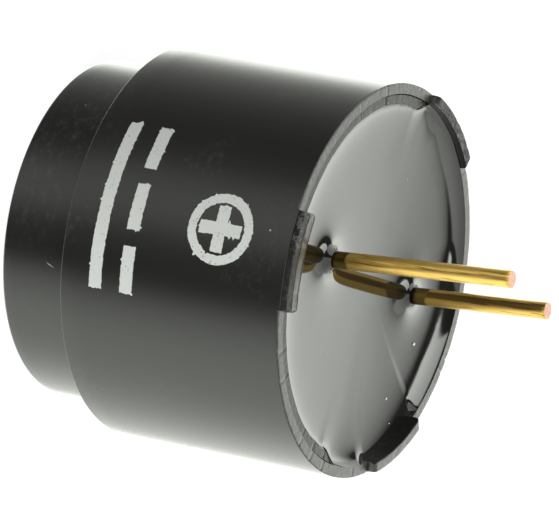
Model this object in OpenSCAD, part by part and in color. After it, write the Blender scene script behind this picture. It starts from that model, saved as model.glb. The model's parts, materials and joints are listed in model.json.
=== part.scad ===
// Magnetic buzzer with an internal driver: a stepped round can, potted at the back, with two
// through-hole pins. It stands on its front face, so the sound hole looks down and the pins point up.
// Millimetres. The origin is the middle of the front face, +Z runs along the axis towards the pins,
// and +X points from the axis to the positive pin.

/* [Housing] */
// Outside diameter of the body
body_d = 16; // [15:0.1:24]
// Height from the front face to the rim
rim_h = 13.3; // [12.5:0.1:20]
// How far the neck is set in from the body
neck_step = 1.1; // [0.6:0.05:2]
// Height of the neck
neck_h = 3.4; // [2:0.1:4]
// Thickness of the front wall
front_wall = 1.2; // [0.6:0.1:2]
// Thickness of the neck's side wall
neck_wall = 1; // [0.6:0.05:1.6]
// Thickness of the shoulder between neck and body
shoulder_wall = 1; // [0.6:0.1:1.6]
// Thickness of the body's side wall beside the magnet
body_wall = 1.15; // [0.9:0.05:1.6]
// Diameter of the sound hole
sound_hole_d = 3; // [1.5:0.1:5]
// Rounding of the outer edges at the front face and the shoulder
edge_r = 0.15; // [0.05:0.01:0.4]

/* [Rim and feet] */
// Width of the ledge inside the rim
ledge_w = 0.38; // [0.1:0.01:0.5]
// Depth of the ledge below the rim
ledge_depth = 0.06; // [0.02:0.01:0.3]
// Number of feet round the rim
foot_count = 3; // [2:1:6]
// Width of one foot
foot_w = 4.1; // [1:0.1:6]
// Height of the feet above the rim
foot_h = 0.32; // [0.1:0.01:0.6]
// Rounding of a foot's corners
foot_corner_r = 0.15; // [0.05:0.01:0.2]
// Angle of the first foot from the positive pin
foot_turn = 6; // [-60:1:60]

/* [Pins] */
// Diameter of the pins
pin_d = 0.7; // [0.4:0.05:1]
// Distance between the pins
pin_pitch = 7.6; // [5:0.1:10]
// Distance of the row of pins from the axis
pin_row_off = 0.11; // [0:0.01:0.5]
// Lean of the pins away from the axis
pin_lean = 3.86; // [1:0.01:8]
// Free length of the positive pin above its bend
positive_len = 7.83; // [4:0.01:14]
// Free length of the negative pin above its bend
negative_len = 6.01; // [3:0.01:12]
// Diameter of the collar that seats a pin on the board
collar_d = 1.3; // [1.1:0.05:2]
// Thickness of that collar
collar_t = 0.3; // [0.2:0.05:0.5]
// Length of a pin's tail below the board
tail_len = 0.6; // [0.3:0.05:0.9]

/* [Potting] */
// Depth of the potting's flat surface below the rim
potting_drop = 0.42; // [0.25:0.01:0.8]
// Thickness of the potting over the board
potting_t = 1.18; // [0.8:0.02:2]
// Width of the curved border that climbs the wall
meniscus_w = 1.1; // [0.8:0.1:3]
// Width and height of the small collar of potting round each pin
pin_climb = 0.3; // [0.1:0.01:0.4]

/* [Board] */
// Thickness of the driver board
board_t = 0.8; // [0.5:0.1:1.6]
// Width of the step that the board sits on
board_step = 0.3; // [0.2:0.05:0.5]
// Room between the yoke plate and the board
parts_gap = 1.3; // [1.2:0.1:2]

/* [Magnet and diaphragm] */
// Radial gap of pieces that drop into the housing
slip = 0.05; // [0.02:0.01:0.1]
// Wall of the support ring
ring_wall = 0.3; // [0.2:0.05:0.6]
// Depth of the recess in the support ring that takes the diaphragm
recess_depth = 0.6; // [0.5:0.05:1]
// Thickness of the flange that the diaphragm lies on
flange_t = 0.5; // [0.3:0.05:0.8]
// Width of the diaphragm's seat
seat_w = 0.8; // [0.4:0.05:1.2]
// Radial gap round the diaphragm
diaphragm_gap = 0.1; // [0.05:0.01:0.2]
// Thickness of the diaphragm
diaphragm_t = 0.1; // [0.05:0.01:0.2]
// Diameter of the armature disc
armature_d = 4; // [2:0.1:6]
// Thickness of the armature disc
armature_t = 0.4; // [0.2:0.05:0.6]
// Share of the room between the bobbin's tube and the support ring that the magnet fills
magnet_share = 0.37; // [0.25:0.01:0.5]
// Thickness of the yoke plate
yoke_t = 0.9; // [0.5:0.1:1.4]

/* [Core and coil] */
// Diameter of the pole core
core_d = 3; // [2:0.1:3.4]
// Gap between the core's tip and the diaphragm
air_gap = 0.25; // [0.1:0.01:0.5]
// Diameter of the rivet tail of the core
rivet_d = 2; // [1.2:0.1:2]
// Diameter of the rivet head
rivet_head_d = 2.6; // [2.2:0.1:3.2]
// Height of the rivet head above the yoke plate
rivet_head_h = 0.2; // [0.1:0.05:0.4]
// Distance from the core's tip to the bobbin
bobbin_inset = 0.2; // [0.1:0.05:0.4]
// Wall of the bobbin's tube
bobbin_wall = 0.3; // [0.2:0.05:0.4]
// Thickness of the bobbin's flanges
bobbin_flange = 0.35; // [0.25:0.05:0.5]
// Radial gap between the bobbin and the magnet
bobbin_gap = 0.2; // [0.1:0.05:0.3]
// How far the windings stop short of the bobbin's edge
winding_inset = 0.4; // [0.2:0.05:0.5]
// Share of the winding space that the feedback winding fills
feedback_share = 0.39; // [0.2:0.01:0.6]
// Diameter of the winding ends that run to the board
lead_d = 0.16; // [0.1:0.01:0.3]
// Width of the slots that let them through
lead_slot_w = 0.6; // [0.4:0.05:0.8]
// Angle of the two slots to either side of the +Y axis
lead_slot_turn = 35; // [25:1:60]

/* [Driver parts] */
// Length of the transistor's body
transistor_l = 2.9; // [2.4:0.1:3.2]
// Width of the transistor's body
transistor_w = 1.3; // [1:0.1:1.6]
// Height of the transistor's body
transistor_h = 0.9; // [0.6:0.05:1]
// Distance between the two legs on one side of the transistor
leg_pitch = 1.9; // [1.4:0.1:2]
// Width of a transistor leg
leg_w = 0.4; // [0.3:0.05:0.5]
// Thickness of a transistor leg
leg_t = 0.12; // [0.08:0.01:0.2]
// Reach of a transistor leg beside the body
leg_reach = 0.55; // [0.4:0.05:0.7]
// Room between the transistor's legs and the resistor
transistor_gap = 0.48; // [0.2:0.02:0.6]
// Length of the resistor with its end caps
resistor_l = 2; // [1.6:0.1:2.4]
// Width of the resistor
resistor_w = 1.25; // [0.8:0.05:1.3]
// Height of the resistor
resistor_h = 0.5; // [0.3:0.05:0.6]
// Length of an end cap of the resistor
resistor_cap = 0.4; // [0.2:0.05:0.5]
// Room between the resistor and the bore of the housing
resistor_gap = 0.62; // [0.4:0.02:1]

/* [Solder] */
// Radial gap round a pin in its hole in the board
pin_hole_gap = 0.05; // [0.02:0.01:0.1]
// Width of the solder round a pin
pin_solder_w = 0.5; // [0.3:0.05:0.7]
// Height of the solder round a pin
pin_solder_h = 0.45; // [0.2:0.05:0.6]
// Diameter of the solder dot on a winding end
lead_solder_d = 0.7; // [0.5:0.05:0.9]
// Height of that dot
lead_solder_h = 0.25; // [0.15:0.05:0.4]

/* [Hidden] */

$fn = 96;
// How far cutting shapes run past the faces that they cut
overrun = 0.5;

// Radii, from the outside in
body_r = body_d / 2;
neck_r = body_r - neck_step;
chamber_r = neck_r - neck_wall;
bore_r = body_r - body_wall;
mouth_r = bore_r + board_step;
ledge_r = mouth_r + ledge_w;
pin_r = pin_d / 2;
insert_r = bore_r - slip;
ring_bore_r = insert_r - ring_wall;
diaphragm_r = ring_bore_r - diaphragm_gap;
seat_r = diaphragm_r - seat_w;
bobbin_bore_r = core_d / 2 + slip;
spool_r = bobbin_bore_r + bobbin_wall;
magnet_r = ring_bore_r - slip;
magnet_bore_r = magnet_r - magnet_share * (magnet_r - spool_r);
bobbin_r = magnet_bore_r - bobbin_gap;
winding_r = bobbin_r - winding_inset;
feedback_r = winding_r - feedback_share * (winding_r - spool_r);
lead_radii = [(spool_r + feedback_r) / 2, (feedback_r + winding_r) / 2];

// Places of the driver parts, from the bore towards the axis
resistor_off = bore_r - resistor_gap - resistor_w / 2;
transistor_off = resistor_off - resistor_w / 2 - transistor_gap - leg_reach - transistor_w / 2;

// Heights, from the front face up
shoulder_z = neck_h + shoulder_wall;
seat_z = shoulder_z + recess_depth;
magnet_z = seat_z + flange_t;
core_z = seat_z + air_gap;
bobbin_z = core_z + bobbin_inset;

// Heights of the feet, and of the rim before they are cut from it
foot_z = rim_h + foot_h;
tall_z = foot_z + overrun;

// Heights, from the rim down
potting_z = rim_h - potting_drop;
contact_z = rim_h - ledge_depth;
board_z = potting_z - potting_t;
board_under_z = board_z - board_t;
yoke_top_z = board_under_z - parts_gap;
yoke_z = yoke_top_z - yoke_t;
bend_z = potting_z + pin_climb;

// The potting's border is an arc that leaves the flat surface level and ends at the ledge
flat_r = mouth_r - meniscus_w;
meniscus_rise = contact_z - potting_z;
meniscus_r = (pow(meniscus_w, 2) + pow(meniscus_rise, 2)) / (2 * meniscus_rise);

// A square edge with its rounding taken off, to cut from an outside corner at the origin
module edge_cut(r) {
    difference() {
        translate([-r, 0]) square([r + overrun, r]);
        translate([-r, r]) circle(r);
    }
    translate([0, -overrun]) square([overrun, overrun + r]);
    translate([-r, -overrun]) square([r + overrun, overrun]);
}

// A tube between two heights
module tube(r_out, r_in, z_low, z_high) {
    translate([0, 0, z_low]) difference() {
        cylinder(r = r_out, h = z_high - z_low);
        translate([0, 0, -overrun]) cylinder(r = r_in, h = z_high - z_low + 2 * overrun);
    }
}

// A block on the board's under side, in the middle of the given place
module board_block(size, place) {
    translate([place.x - size.x / 2, place.y - size.y / 2, board_under_z - size.z]) cube(size);
}

// Half section of the housing, with the rim left tall so that the feet can be cut from it
module housing_section() {
    difference() {
        union() {
            square([neck_r, tall_z]);
            translate([0, neck_h]) square([body_r, tall_z - neck_h]);
        }
        translate([0, -overrun]) square([sound_hole_d / 2, front_wall + 2 * overrun]);
        translate([0, front_wall]) square([chamber_r, tall_z]);
        translate([0, shoulder_z]) square([bore_r, tall_z]);
        translate([0, board_under_z]) square([mouth_r, tall_z]);
        translate([neck_r, 0]) edge_cut(edge_r);
        translate([body_r, neck_h]) edge_cut(edge_r);
    }
}

// One foot's outline seen from the side of the can, with rounded top corners
module foot_outline() {
    low = contact_z - overrun;
    translate([-foot_w / 2, low]) square([foot_w, foot_z - foot_corner_r - low]);
    translate([foot_corner_r - foot_w / 2, low]) square([foot_w - 2 * foot_corner_r, foot_z - low]);
    for (side = [-1, 1])
        translate([side * (foot_w / 2 - foot_corner_r), foot_z - foot_corner_r]) circle(foot_corner_r);
}

// What is cut from the tall rim: all above the rim and its ledge, apart from the feet, which stand
// on the wall's full width
module rim_cut() {
    cut_r = mouth_r - overrun;
    difference() {
        rotate_extrude() {
            translate([cut_r, contact_z]) square([ledge_r - cut_r, tall_z + overrun - contact_z]);
            translate([cut_r, rim_h]) square([body_r + overrun - cut_r, tall_z + overrun - rim_h]);
        }
        for (i = [0 : foot_count - 1])
            rotate([0, 0, foot_turn + i * 360 / foot_count])
                rotate([90, 0, 90]) translate([0, 0, cut_r - overrun])
                    linear_extrude(body_r - cut_r + 3 * overrun) foot_outline();
    }
}

module housing() {
    color([0.1, 0.1, 0.1]) difference() {
        rotate_extrude() housing_section();
        rim_cut();
    }
}

// Half section of the potting: flat in the middle, curved up to the wall
module potting_section() {
    difference() {
        translate([0, board_z]) square([mouth_r, contact_z - board_z]);
        translate([0, potting_z]) square([flat_r, meniscus_rise + overrun]);
        intersection() {
            translate([flat_r, potting_z]) square([meniscus_w + overrun, meniscus_rise + overrun]);
            translate([flat_r, potting_z + meniscus_r]) circle(meniscus_r);
        }
    }
}

// Concave collar of potting that climbs a pin
module pin_climb_ring() {
    rotate_extrude() difference() {
        translate([0, -pin_climb]) square([pin_r + pin_climb, 2 * pin_climb]);
        translate([pin_r + pin_climb, pin_climb]) circle(pin_climb);
    }
}

// Middle of a pin on the board, +1 for the positive pin and -1 for the negative one
function pin_place(side) = [side * pin_pitch / 2, -pin_row_off, 0];

module epoxy_seal() {
    color([0.06, 0.06, 0.06]) difference() {
        union() {
            rotate_extrude() potting_section();
            for (side = [-1, 1])
                translate(pin_place(side) + [0, 0, potting_z]) pin_climb_ring();
        }
        for (side = [-1, 1])
            translate(pin_place(side)) {
                translate([0, 0, board_z - overrun]) cylinder(r = collar_d / 2, h = overrun + collar_t);
                translate([0, 0, board_z]) cylinder(r = pin_r, h = potting_t + 2 * pin_climb);
            }
    }
}

// Half space beyond the mitre of a pin's bend: above it for +1, below it for -1
module mitre_half(side) {
    translate([0, 0, bend_z]) rotate([pin_lean / 2, 0, 0])
        translate([-pin_d, -pin_d, side > 0 ? 0 : -2 * pin_d]) cube(2 * pin_d);
}

// A pin: tail through the board, collar on it, stem up through the potting, and the leaning free length
module pin(free_len) {
    tail_z = board_under_z - tail_len;
    translate([0, 0, board_z]) cylinder(r = collar_d / 2, h = collar_t);
    difference() {
        translate([0, 0, tail_z]) cylinder(r = pin_r, h = bend_z + pin_r - tail_z);
        mitre_half(1);
    }
    difference() {
        translate([0, 0, bend_z]) rotate([pin_lean, 0, 0])
            translate([0, 0, -pin_r]) cylinder(r = pin_r, h = free_len + pin_r);
        mitre_half(-1);
    }
}

module positive_pin() {
    color([0.83, 0.66, 0.3]) translate(pin_place(1)) pin(positive_len);
}

module negative_pin() {
    color([0.83, 0.66, 0.3]) translate(pin_place(-1)) pin(negative_len);
}

module diaphragm() {
    color([0.75, 0.75, 0.73])
        translate([0, 0, seat_z - diaphragm_t]) cylinder(r = diaphragm_r, h = diaphragm_t);
}

module armature_disc() {
    color([0.5, 0.5, 0.52])
        translate([0, 0, seat_z - diaphragm_t - armature_t]) cylinder(r = armature_d / 2, h = armature_t);
}

// Tube that stands on the shoulder, with an inner flange for the diaphragm and the magnet
module support_ring() {
    color([0.2, 0.2, 0.22]) rotate_extrude() {
        translate([ring_bore_r, shoulder_z]) square([ring_wall, yoke_z - shoulder_z]);
        translate([seat_r, seat_z]) square([insert_r - seat_r, flange_t]);
    }
}

module ring_magnet() {
    color([0.25, 0.24, 0.24]) tube(magnet_r, magnet_bore_r, magnet_z, yoke_z);
}

// Slots through a plate for the winding ends, from the inner to the outer pair
module lead_slots(z_low, z_high) {
    slot_end_r = lead_slot_w / 2;
    slot_l = lead_radii[1] - lead_radii[0];
    for (side = [-1, 1])
        rotate([0, 0, 90 + side * lead_slot_turn]) translate([0, 0, z_low])
            linear_extrude(z_high - z_low) {
                translate([lead_radii[0], -slot_end_r]) square([slot_l, lead_slot_w]);
                for (r = lead_radii) translate([r, 0]) circle(slot_end_r);
            }
}

module yoke_plate() {
    color([0.6, 0.6, 0.62]) difference() {
        tube(insert_r, rivet_d / 2, yoke_z, yoke_top_z);
        lead_slots(yoke_z - overrun, yoke_top_z + overrun);
    }
}

// Core with a rivet tail through the yoke plate and a head spread on its far side
module pole_core() {
    color([0.55, 0.55, 0.57]) {
        translate([0, 0, core_z]) cylinder(r = core_d / 2, h = yoke_z - core_z);
        translate([0, 0, core_z]) cylinder(r = rivet_d / 2, h = yoke_top_z - core_z);
        translate([0, 0, yoke_top_z]) cylinder(r = rivet_head_d / 2, h = rivet_head_h);
    }
}

module coil_bobbin() {
    color([0.85, 0.82, 0.72]) difference() {
        union() {
            translate([0, 0, bobbin_z]) cylinder(r = spool_r, h = yoke_z - bobbin_z);
            translate([0, 0, bobbin_z]) cylinder(r = bobbin_r, h = bobbin_flange);
            translate([0, 0, yoke_z - bobbin_flange]) cylinder(r = bobbin_r, h = bobbin_flange);
        }
        translate([0, 0, bobbin_z - overrun])
            cylinder(r = bobbin_bore_r, h = yoke_z - bobbin_z + 2 * overrun);
        lead_slots(yoke_z - bobbin_flange, yoke_z + overrun);
    }
}

module winding(r_out, r_in) {
    tube(r_out, r_in, bobbin_z + bobbin_flange, yoke_z - bobbin_flange);
}

module drive_winding() {
    color([0.72, 0.4, 0.18]) winding(feedback_r, spool_r);
}

module feedback_winding() {
    color([0.65, 0.34, 0.16]) winding(winding_r, feedback_r);
}

// Puts its children at the four winding ends, at the given height
module at_leads(z) {
    for (side = [-1, 1], r = lead_radii)
        rotate([0, 0, 90 + side * lead_slot_turn]) translate([r, 0, z]) children();
}

module coil_leads() {
    lead_z = yoke_z - bobbin_flange;
    color([0.72, 0.4, 0.18]) at_leads(lead_z) cylinder(r = lead_d / 2, h = board_under_z - lead_z);
}

module circuit_board() {
    color([0.55, 0.45, 0.2]) difference() {
        translate([0, 0, board_under_z]) cylinder(r = mouth_r - slip, h = board_t);
        for (side = [-1, 1])
            translate(pin_place(side) + [0, 0, board_under_z - overrun])
                cylinder(r = pin_r + pin_hole_gap, h = board_t + 2 * overrun);
    }
}

module transistor_body() {
    color([0.12, 0.12, 0.12])
        board_block([transistor_l, transistor_w, transistor_h], [0, -transistor_off]);
}

// One leg seen from its side: out of the body at half height, down to the board and out along it
module leg_section() {
    exit_h = transistor_h / 2;
    square([leg_reach / 2 + leg_t / 2, leg_t]);
    translate([leg_reach / 2 - leg_t / 2, 0]) square([leg_t, exit_h]);
    translate([leg_reach / 2 - leg_t / 2, exit_h - leg_t]) square([leg_reach / 2 + leg_t / 2, leg_t]);
}

// Two legs on the side of the resistor and one on the other
module transistor_legs() {
    toe_off = transistor_w / 2 + leg_reach;
    color([0.75, 0.75, 0.75])
        for (leg = [[-1, -1], [1, -1], [0, 1]])
            translate([leg[0] * leg_pitch / 2, leg[1] * toe_off - transistor_off, 0])
                rotate([90, 180, leg[1] * 90]) translate([0, -board_under_z, -leg_w / 2])
                    linear_extrude(leg_w) leg_section();
}

module resistor_body() {
    color([0.15, 0.15, 0.17])
        board_block([resistor_l - 2 * resistor_cap, resistor_w, resistor_h], [0, -resistor_off]);
}

module resistor_caps() {
    color([0.75, 0.75, 0.75])
        for (side = [-1, 1])
            board_block([resistor_cap, resistor_w, resistor_h],
                        [side * (resistor_l - resistor_cap) / 2, -resistor_off]);
}

module pin_solder() {
    color([0.7, 0.7, 0.7])
        for (side = [-1, 1])
            translate(pin_place(side) + [0, 0, board_under_z - pin_solder_h]) difference() {
                cylinder(r1 = pin_r + pin_hole_gap, r2 = pin_r + pin_solder_w, h = pin_solder_h);
                translate([0, 0, -overrun]) cylinder(r = pin_r, h = pin_solder_h + 2 * overrun);
            }
}

module lead_solder() {
    color([0.7, 0.7, 0.7])
        at_leads(board_under_z - lead_solder_h) difference() {
            cylinder(r1 = lead_d, r2 = lead_solder_d / 2, h = lead_solder_h);
            translate([0, 0, -overrun]) cylinder(r = lead_d / 2, h = lead_solder_h + 2 * overrun);
        }
}

housing();
epoxy_seal();
positive_pin();
negative_pin();
diaphragm();
armature_disc();
support_ring();
ring_magnet();
yoke_plate();
pole_core();
coil_bobbin();
drive_winding();
feedback_winding();
coil_leads();
circuit_board();
transistor_body();
transistor_legs();
resistor_body();
resistor_caps();
pin_solder();
lead_solder();
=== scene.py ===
"""Looks of a magnetic buzzer: moulded can, poured potting, gold pins, printed marks and a small studio."""

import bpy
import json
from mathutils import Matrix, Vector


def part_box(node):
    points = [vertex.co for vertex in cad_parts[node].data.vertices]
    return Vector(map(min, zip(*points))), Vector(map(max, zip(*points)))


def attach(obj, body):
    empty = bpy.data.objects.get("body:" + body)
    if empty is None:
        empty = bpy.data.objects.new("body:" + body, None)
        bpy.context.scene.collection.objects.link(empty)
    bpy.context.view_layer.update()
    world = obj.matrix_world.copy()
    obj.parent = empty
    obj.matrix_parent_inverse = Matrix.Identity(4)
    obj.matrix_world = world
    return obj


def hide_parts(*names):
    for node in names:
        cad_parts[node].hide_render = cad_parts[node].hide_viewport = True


bl_info = {
    "name": "Magnetic buzzer looks",
    "version": (1, 0, 0),
    "blender": (4, 5, 0),
    "location": "3D View > Sidebar > Buzzer",
    "description": "Dresses the packed buzzer with finely made shells, finishes and a studio",
    "category": "Object",
}

import json
import math
import random
from collections import namedtuple

import bmesh
import bpy
from bpy.props import FloatProperty, FloatVectorProperty, PointerProperty
from mathutils import Matrix, Vector, geometry, noise

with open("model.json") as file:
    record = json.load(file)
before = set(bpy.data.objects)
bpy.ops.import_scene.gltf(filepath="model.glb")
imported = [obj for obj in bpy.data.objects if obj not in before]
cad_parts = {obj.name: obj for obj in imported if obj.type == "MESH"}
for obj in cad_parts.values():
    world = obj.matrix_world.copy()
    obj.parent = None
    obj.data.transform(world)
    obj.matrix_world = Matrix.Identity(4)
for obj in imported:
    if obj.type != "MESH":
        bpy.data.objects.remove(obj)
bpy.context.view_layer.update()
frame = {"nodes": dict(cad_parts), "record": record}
BODY = "root"
MM = 0.001
FULL_TURN = 2 * math.pi


def reach(node, low, high):
    """Largest distance from the axis among a CAD node's corners between two heights."""
    corners = [v.co for v in frame["nodes"][node].data.vertices if low <= v.co.z <= high]
    return max(math.hypot(c.x, c.y) for c in corners)


def lowest_beyond(node, radius):
    """Lowest height among a CAD node's corners that lie further from the axis than a radius."""
    return min(v.co.z for v in frame["nodes"][node].data.vertices if math.hypot(v.co.x, v.co.y) > radius)


def middle_of(node, low, high):
    """Mean place of a CAD node's corners between two heights."""
    corners = [v.co for v in frame["nodes"][node].data.vertices if low <= v.co.z <= high]
    return sum(corners, Vector()) / len(corners)


# Sizes that the frame gives
FOOT_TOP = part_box("housing")[1].z
BODY_R = reach("housing", 0, FOOT_TOP)
NECK_R = reach("housing", 0, MM)
NECK_H = lowest_beyond("housing", (NECK_R + BODY_R) / 2)
MOUTH_R = reach("epoxy_seal", 0, FOOT_TOP)
CONTACT_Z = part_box("epoxy_seal")[1].z
BOARD_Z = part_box("epoxy_seal")[0].z
BOARD_UNDER_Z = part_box("circuit_board")[0].z
BORE_R = reach("yoke_plate", 0, FOOT_TOP)
SHOULDER_IN_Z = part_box("support_ring")[0].z


def length_setting(name, description, default, precision=5):
    """A setting for a length, with its default in millimetres."""
    return FloatProperty(
        name=name, description=description, default=default * MM, min=0, unit="LENGTH", precision=precision)


def colour_setting(name, description, default):
    """A setting for a base colour."""
    return FloatVectorProperty(
        name=name, description=description, default=default, subtype="COLOR", min=0, max=1)


class BuzzerSizes(bpy.types.PropertyGroup):
    """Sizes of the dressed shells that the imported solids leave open."""

    foot_h: length_setting("Foot height", "Height of the feet above the rim", 0.32)
    foot_corner: length_setting("Foot corner", "Rounding of a foot's corners", 0.15)
    ledge_w: length_setting("Ledge width", "Width of the ledge inside the rim", 0.38)
    ledge_depth: length_setting("Ledge depth", "Depth of the ledge below the rim", 0.06)
    edge_r: length_setting("Edge rounding", "Rounding at the front face", 0.15)
    shoulder_r: length_setting("Shoulder rounding", "Rounding at the shoulder's edge", 0.06)
    hole_r: length_setting("Sound hole radius", "Radius of the sound hole", 1.5)
    front_wall: length_setting("Front wall", "Thickness of the front wall", 1.2)
    neck_wall: length_setting("Neck wall", "Thickness of the neck's side wall", 1)
    pin_r: length_setting("Pin radius", "Radius of the pins", 0.35)
    pin_lean: FloatProperty(
        name="Pin lean", description="Lean of the pins' free length", default=math.radians(3.86),
        subtype="ANGLE")
    collar_r: length_setting("Collar radius", "Radius of the collar that seats a pin on the board", 0.65)
    collar_t: length_setting("Collar thickness", "Thickness of that collar", 0.3)
    ink_t: length_setting("Ink thickness", "Thickness of the printed ink", 0.006, precision=6)
    pour_drop: length_setting("Pour drop", "Drop of the potting's middle below its contact line", 0.38)


class BuzzerColours(bpy.types.PropertyGroup):
    """Base colours of the finishes that show."""

    moulding: colour_setting("Moulding", "Black moulded plastic", (0.0085, 0.009, 0.0078))
    scuff: colour_setting("Scuff", "Whitened plastic where it is scuffed", (0.085, 0.09, 0.088))
    potting: colour_setting("Potting", "Black poured epoxy", (0.006, 0.006, 0.0055))
    gold: colour_setting("Gold", "Gold plating of the pins", (0.62, 0.405, 0.11))
    film: colour_setting("Film", "Gold under the brown film of potting", (0.2, 0.13, 0.035))
    copper: colour_setting("Copper", "Copper core at the sheared ends", (0.86, 0.52, 0.36))
    ink: colour_setting("Ink", "Pale grey printing ink", (0.76, 0.79, 0.75))
    dust: colour_setting("Dust", "White dust", (0.8, 0.8, 0.77))


class StudioSettings(bpy.types.PropertyGroup):
    """Camera and light of the studio."""

    camera_place: FloatVectorProperty(
        name="Camera place", description="Where the camera stands",
        default=(0.218003, 0.023662, 0.124392), subtype="TRANSLATION", unit="LENGTH")
    camera_right: FloatVectorProperty(
        name="Camera right", description="Direction of the picture's right edge",
        default=(-0.43523, -0.23448, 0.86925), subtype="DIRECTION")
    camera_up: FloatVectorProperty(
        name="Camera up", description="Direction of the picture's upper edge",
        default=(0.19231, -0.96742, -0.16466), subtype="DIRECTION")
    lens: FloatProperty(
        name="Lens", description="Focal length in millimetres", default=396.79, min=1)
    room_light: FloatProperty(
        name="Room light", description="Strength of the even light from all sides", default=0.6, min=0)
    key_light: FloatProperty(
        name="Key light", description="Power of the large soft lamp", default=1.1, min=0, unit="POWER")
    fill_light: FloatProperty(
        name="Fill light", description="Power of the soft lamp above", default=0.2, min=0, unit="POWER")


def sizes():
    return bpy.context.scene.buzzer_sizes


def colours():
    return bpy.context.scene.buzzer_colours


def studio():
    return bpy.context.scene.buzzer_studio


# Node trees

NOISE_MIDDLE = 0.5
LARGEST_SPECK = 0.085
SPECKLESS_SHARE = 0.8


def add_node(tree, kind, settings=None, **inputs):
    """A new shader node with its settings, and its inputs by name: a socket is linked, a value is set."""
    made = tree.nodes.new(kind)
    for name, value in (settings or {}).items():
        setattr(made, name, value)
    for name, value in inputs.items():
        feed(tree, made.inputs[name.replace("_", " ")], value)
    return made


def feed(tree, socket, value):
    """Links an input to another socket, or sets it to a value. A colour gets its alpha here."""
    if isinstance(value, bpy.types.NodeSocket):
        tree.links.new(value, socket)
    elif socket.type == "RGBA":
        socket.default_value = (*value, 1)
    else:
        socket.default_value = value


def sums(tree, operation, first, second=0.0, third=0.0, clamp=False):
    """Output of a Math node."""
    made = tree.nodes.new("ShaderNodeMath")
    made.operation = operation
    made.use_clamp = clamp
    for socket, value in zip(made.inputs, (first, second, third)):
        feed(tree, socket, value)
    return made.outputs[0]


def times(tree, first, second, clamp=False):
    """Product of two values."""
    return sums(tree, "MULTIPLY", first, second, clamp=clamp)


def scaled(tree, value, factor, offset):
    """A value times a factor, plus an offset."""
    return sums(tree, "MULTIPLY_ADD", value, factor, offset)


def between(tree, value, low, high):
    """0 below the low value, 1 above the high one, smooth between them."""
    made = add_node(tree, "ShaderNodeMapRange", {"interpolation_type": "SMOOTHSTEP"},
                    Value=value, From_Min=low, From_Max=high)
    return made.outputs["Result"]


def mixed(tree, share, first, second):
    """A colour between two colours."""
    made = tree.nodes.new("ShaderNodeMix")
    made.data_type = "RGBA"
    for socket, value in zip((made.inputs[0], made.inputs[6], made.inputs[7]), (share, first, second)):
        feed(tree, socket, value)
    return made.outputs[2]


def millimetres(tree, stretch=(1, 1, 1)):
    """Place on the object in millimetres, stretched along its axes."""
    place = tree.nodes.new("ShaderNodeTexCoord").outputs["Object"]
    made = add_node(tree, "ShaderNodeMapping", Vector=place)
    made.inputs["Scale"].default_value = [s / MM for s in stretch]
    return made.outputs["Vector"]


def speckle(tree, place, scale, detail=2.0, roughness=0.5):
    """Value of a Noise texture."""
    made = add_node(
        tree, "ShaderNodeTexNoise", Vector=place, Scale=scale, Detail=detail, Roughness=roughness)
    return made.outputs["Fac"]


def new_group(name, outputs, inputs):
    """An empty shader node group with its sockets, its input node and its output node."""
    tree = bpy.data.node_groups.new(name, "ShaderNodeTree")
    for socket, default in inputs:
        made = tree.interface.new_socket(socket, in_out="INPUT", socket_type="NodeSocketFloat")
        made.default_value = default
    for socket in outputs:
        tree.interface.new_socket(socket, in_out="OUTPUT", socket_type="NodeSocketFloat")
    return tree, tree.nodes.new("NodeGroupInput"), tree.nodes.new("NodeGroupOutput")


def handling_marks():
    """Group: scuffed patches, fine hair scratches round the can and dust specks."""
    name = "Handling marks"
    if name in bpy.data.node_groups:
        return bpy.data.node_groups[name]
    tree, source, sink = new_group(name, ("Scuff", "Hair", "Speck"), (("Wear", 1.0), ("Dust", 1.0)))
    streak = speckle(tree, millimetres(tree, stretch=(1.2, 1.2, 1.9)), scale=1.9, detail=5, roughness=0.68)
    patch = speckle(tree, millimetres(tree), scale=0.21)
    scraped = between(tree, streak, low=0.46, high=0.78)
    cloud = times(tree, scraped, between(tree, patch, low=0.5, high=0.66))
    feed(tree, sink.inputs["Scuff"], times(tree, cloud, source.outputs["Wear"], clamp=True))

    hair_place = millimetres(tree, stretch=(0.5, 0.5, 17))
    hair_noise = speckle(tree, hair_place, scale=1.0, detail=1, roughness=0.4)
    hair_line = sums(tree, "ABSOLUTE", sums(tree, "SUBTRACT", hair_noise, NOISE_MIDDLE))
    hair_patch = speckle(tree, millimetres(tree, stretch=(3.1, 3.1, 3.1)), scale=0.8)
    on_line = sums(tree, "SUBTRACT", 1, between(tree, hair_line, low=0.004, high=0.016))
    hair = times(tree, on_line, between(tree, hair_patch, low=0.56, high=0.7))
    feed(tree, sink.inputs["Hair"], times(tree, hair, source.outputs["Wear"], clamp=True))

    cells = add_node(tree, "ShaderNodeTexVoronoi", Vector=millimetres(tree), Scale=1.25)
    chosen = tree.nodes.new("ShaderNodeSeparateColor")
    feed(tree, chosen.inputs["Color"], cells.outputs["Color"])
    size = times(tree, chosen.outputs["Green"], LARGEST_SPECK)
    dot = sums(tree, "LESS_THAN", cells.outputs["Distance"], size)
    kept = sums(tree, "GREATER_THAN", chosen.outputs["Red"], SPECKLESS_SHARE)
    speck = times(tree, times(tree, dot, kept), source.outputs["Dust"], clamp=True)
    feed(tree, sink.inputs["Speck"], speck)
    return tree


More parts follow.
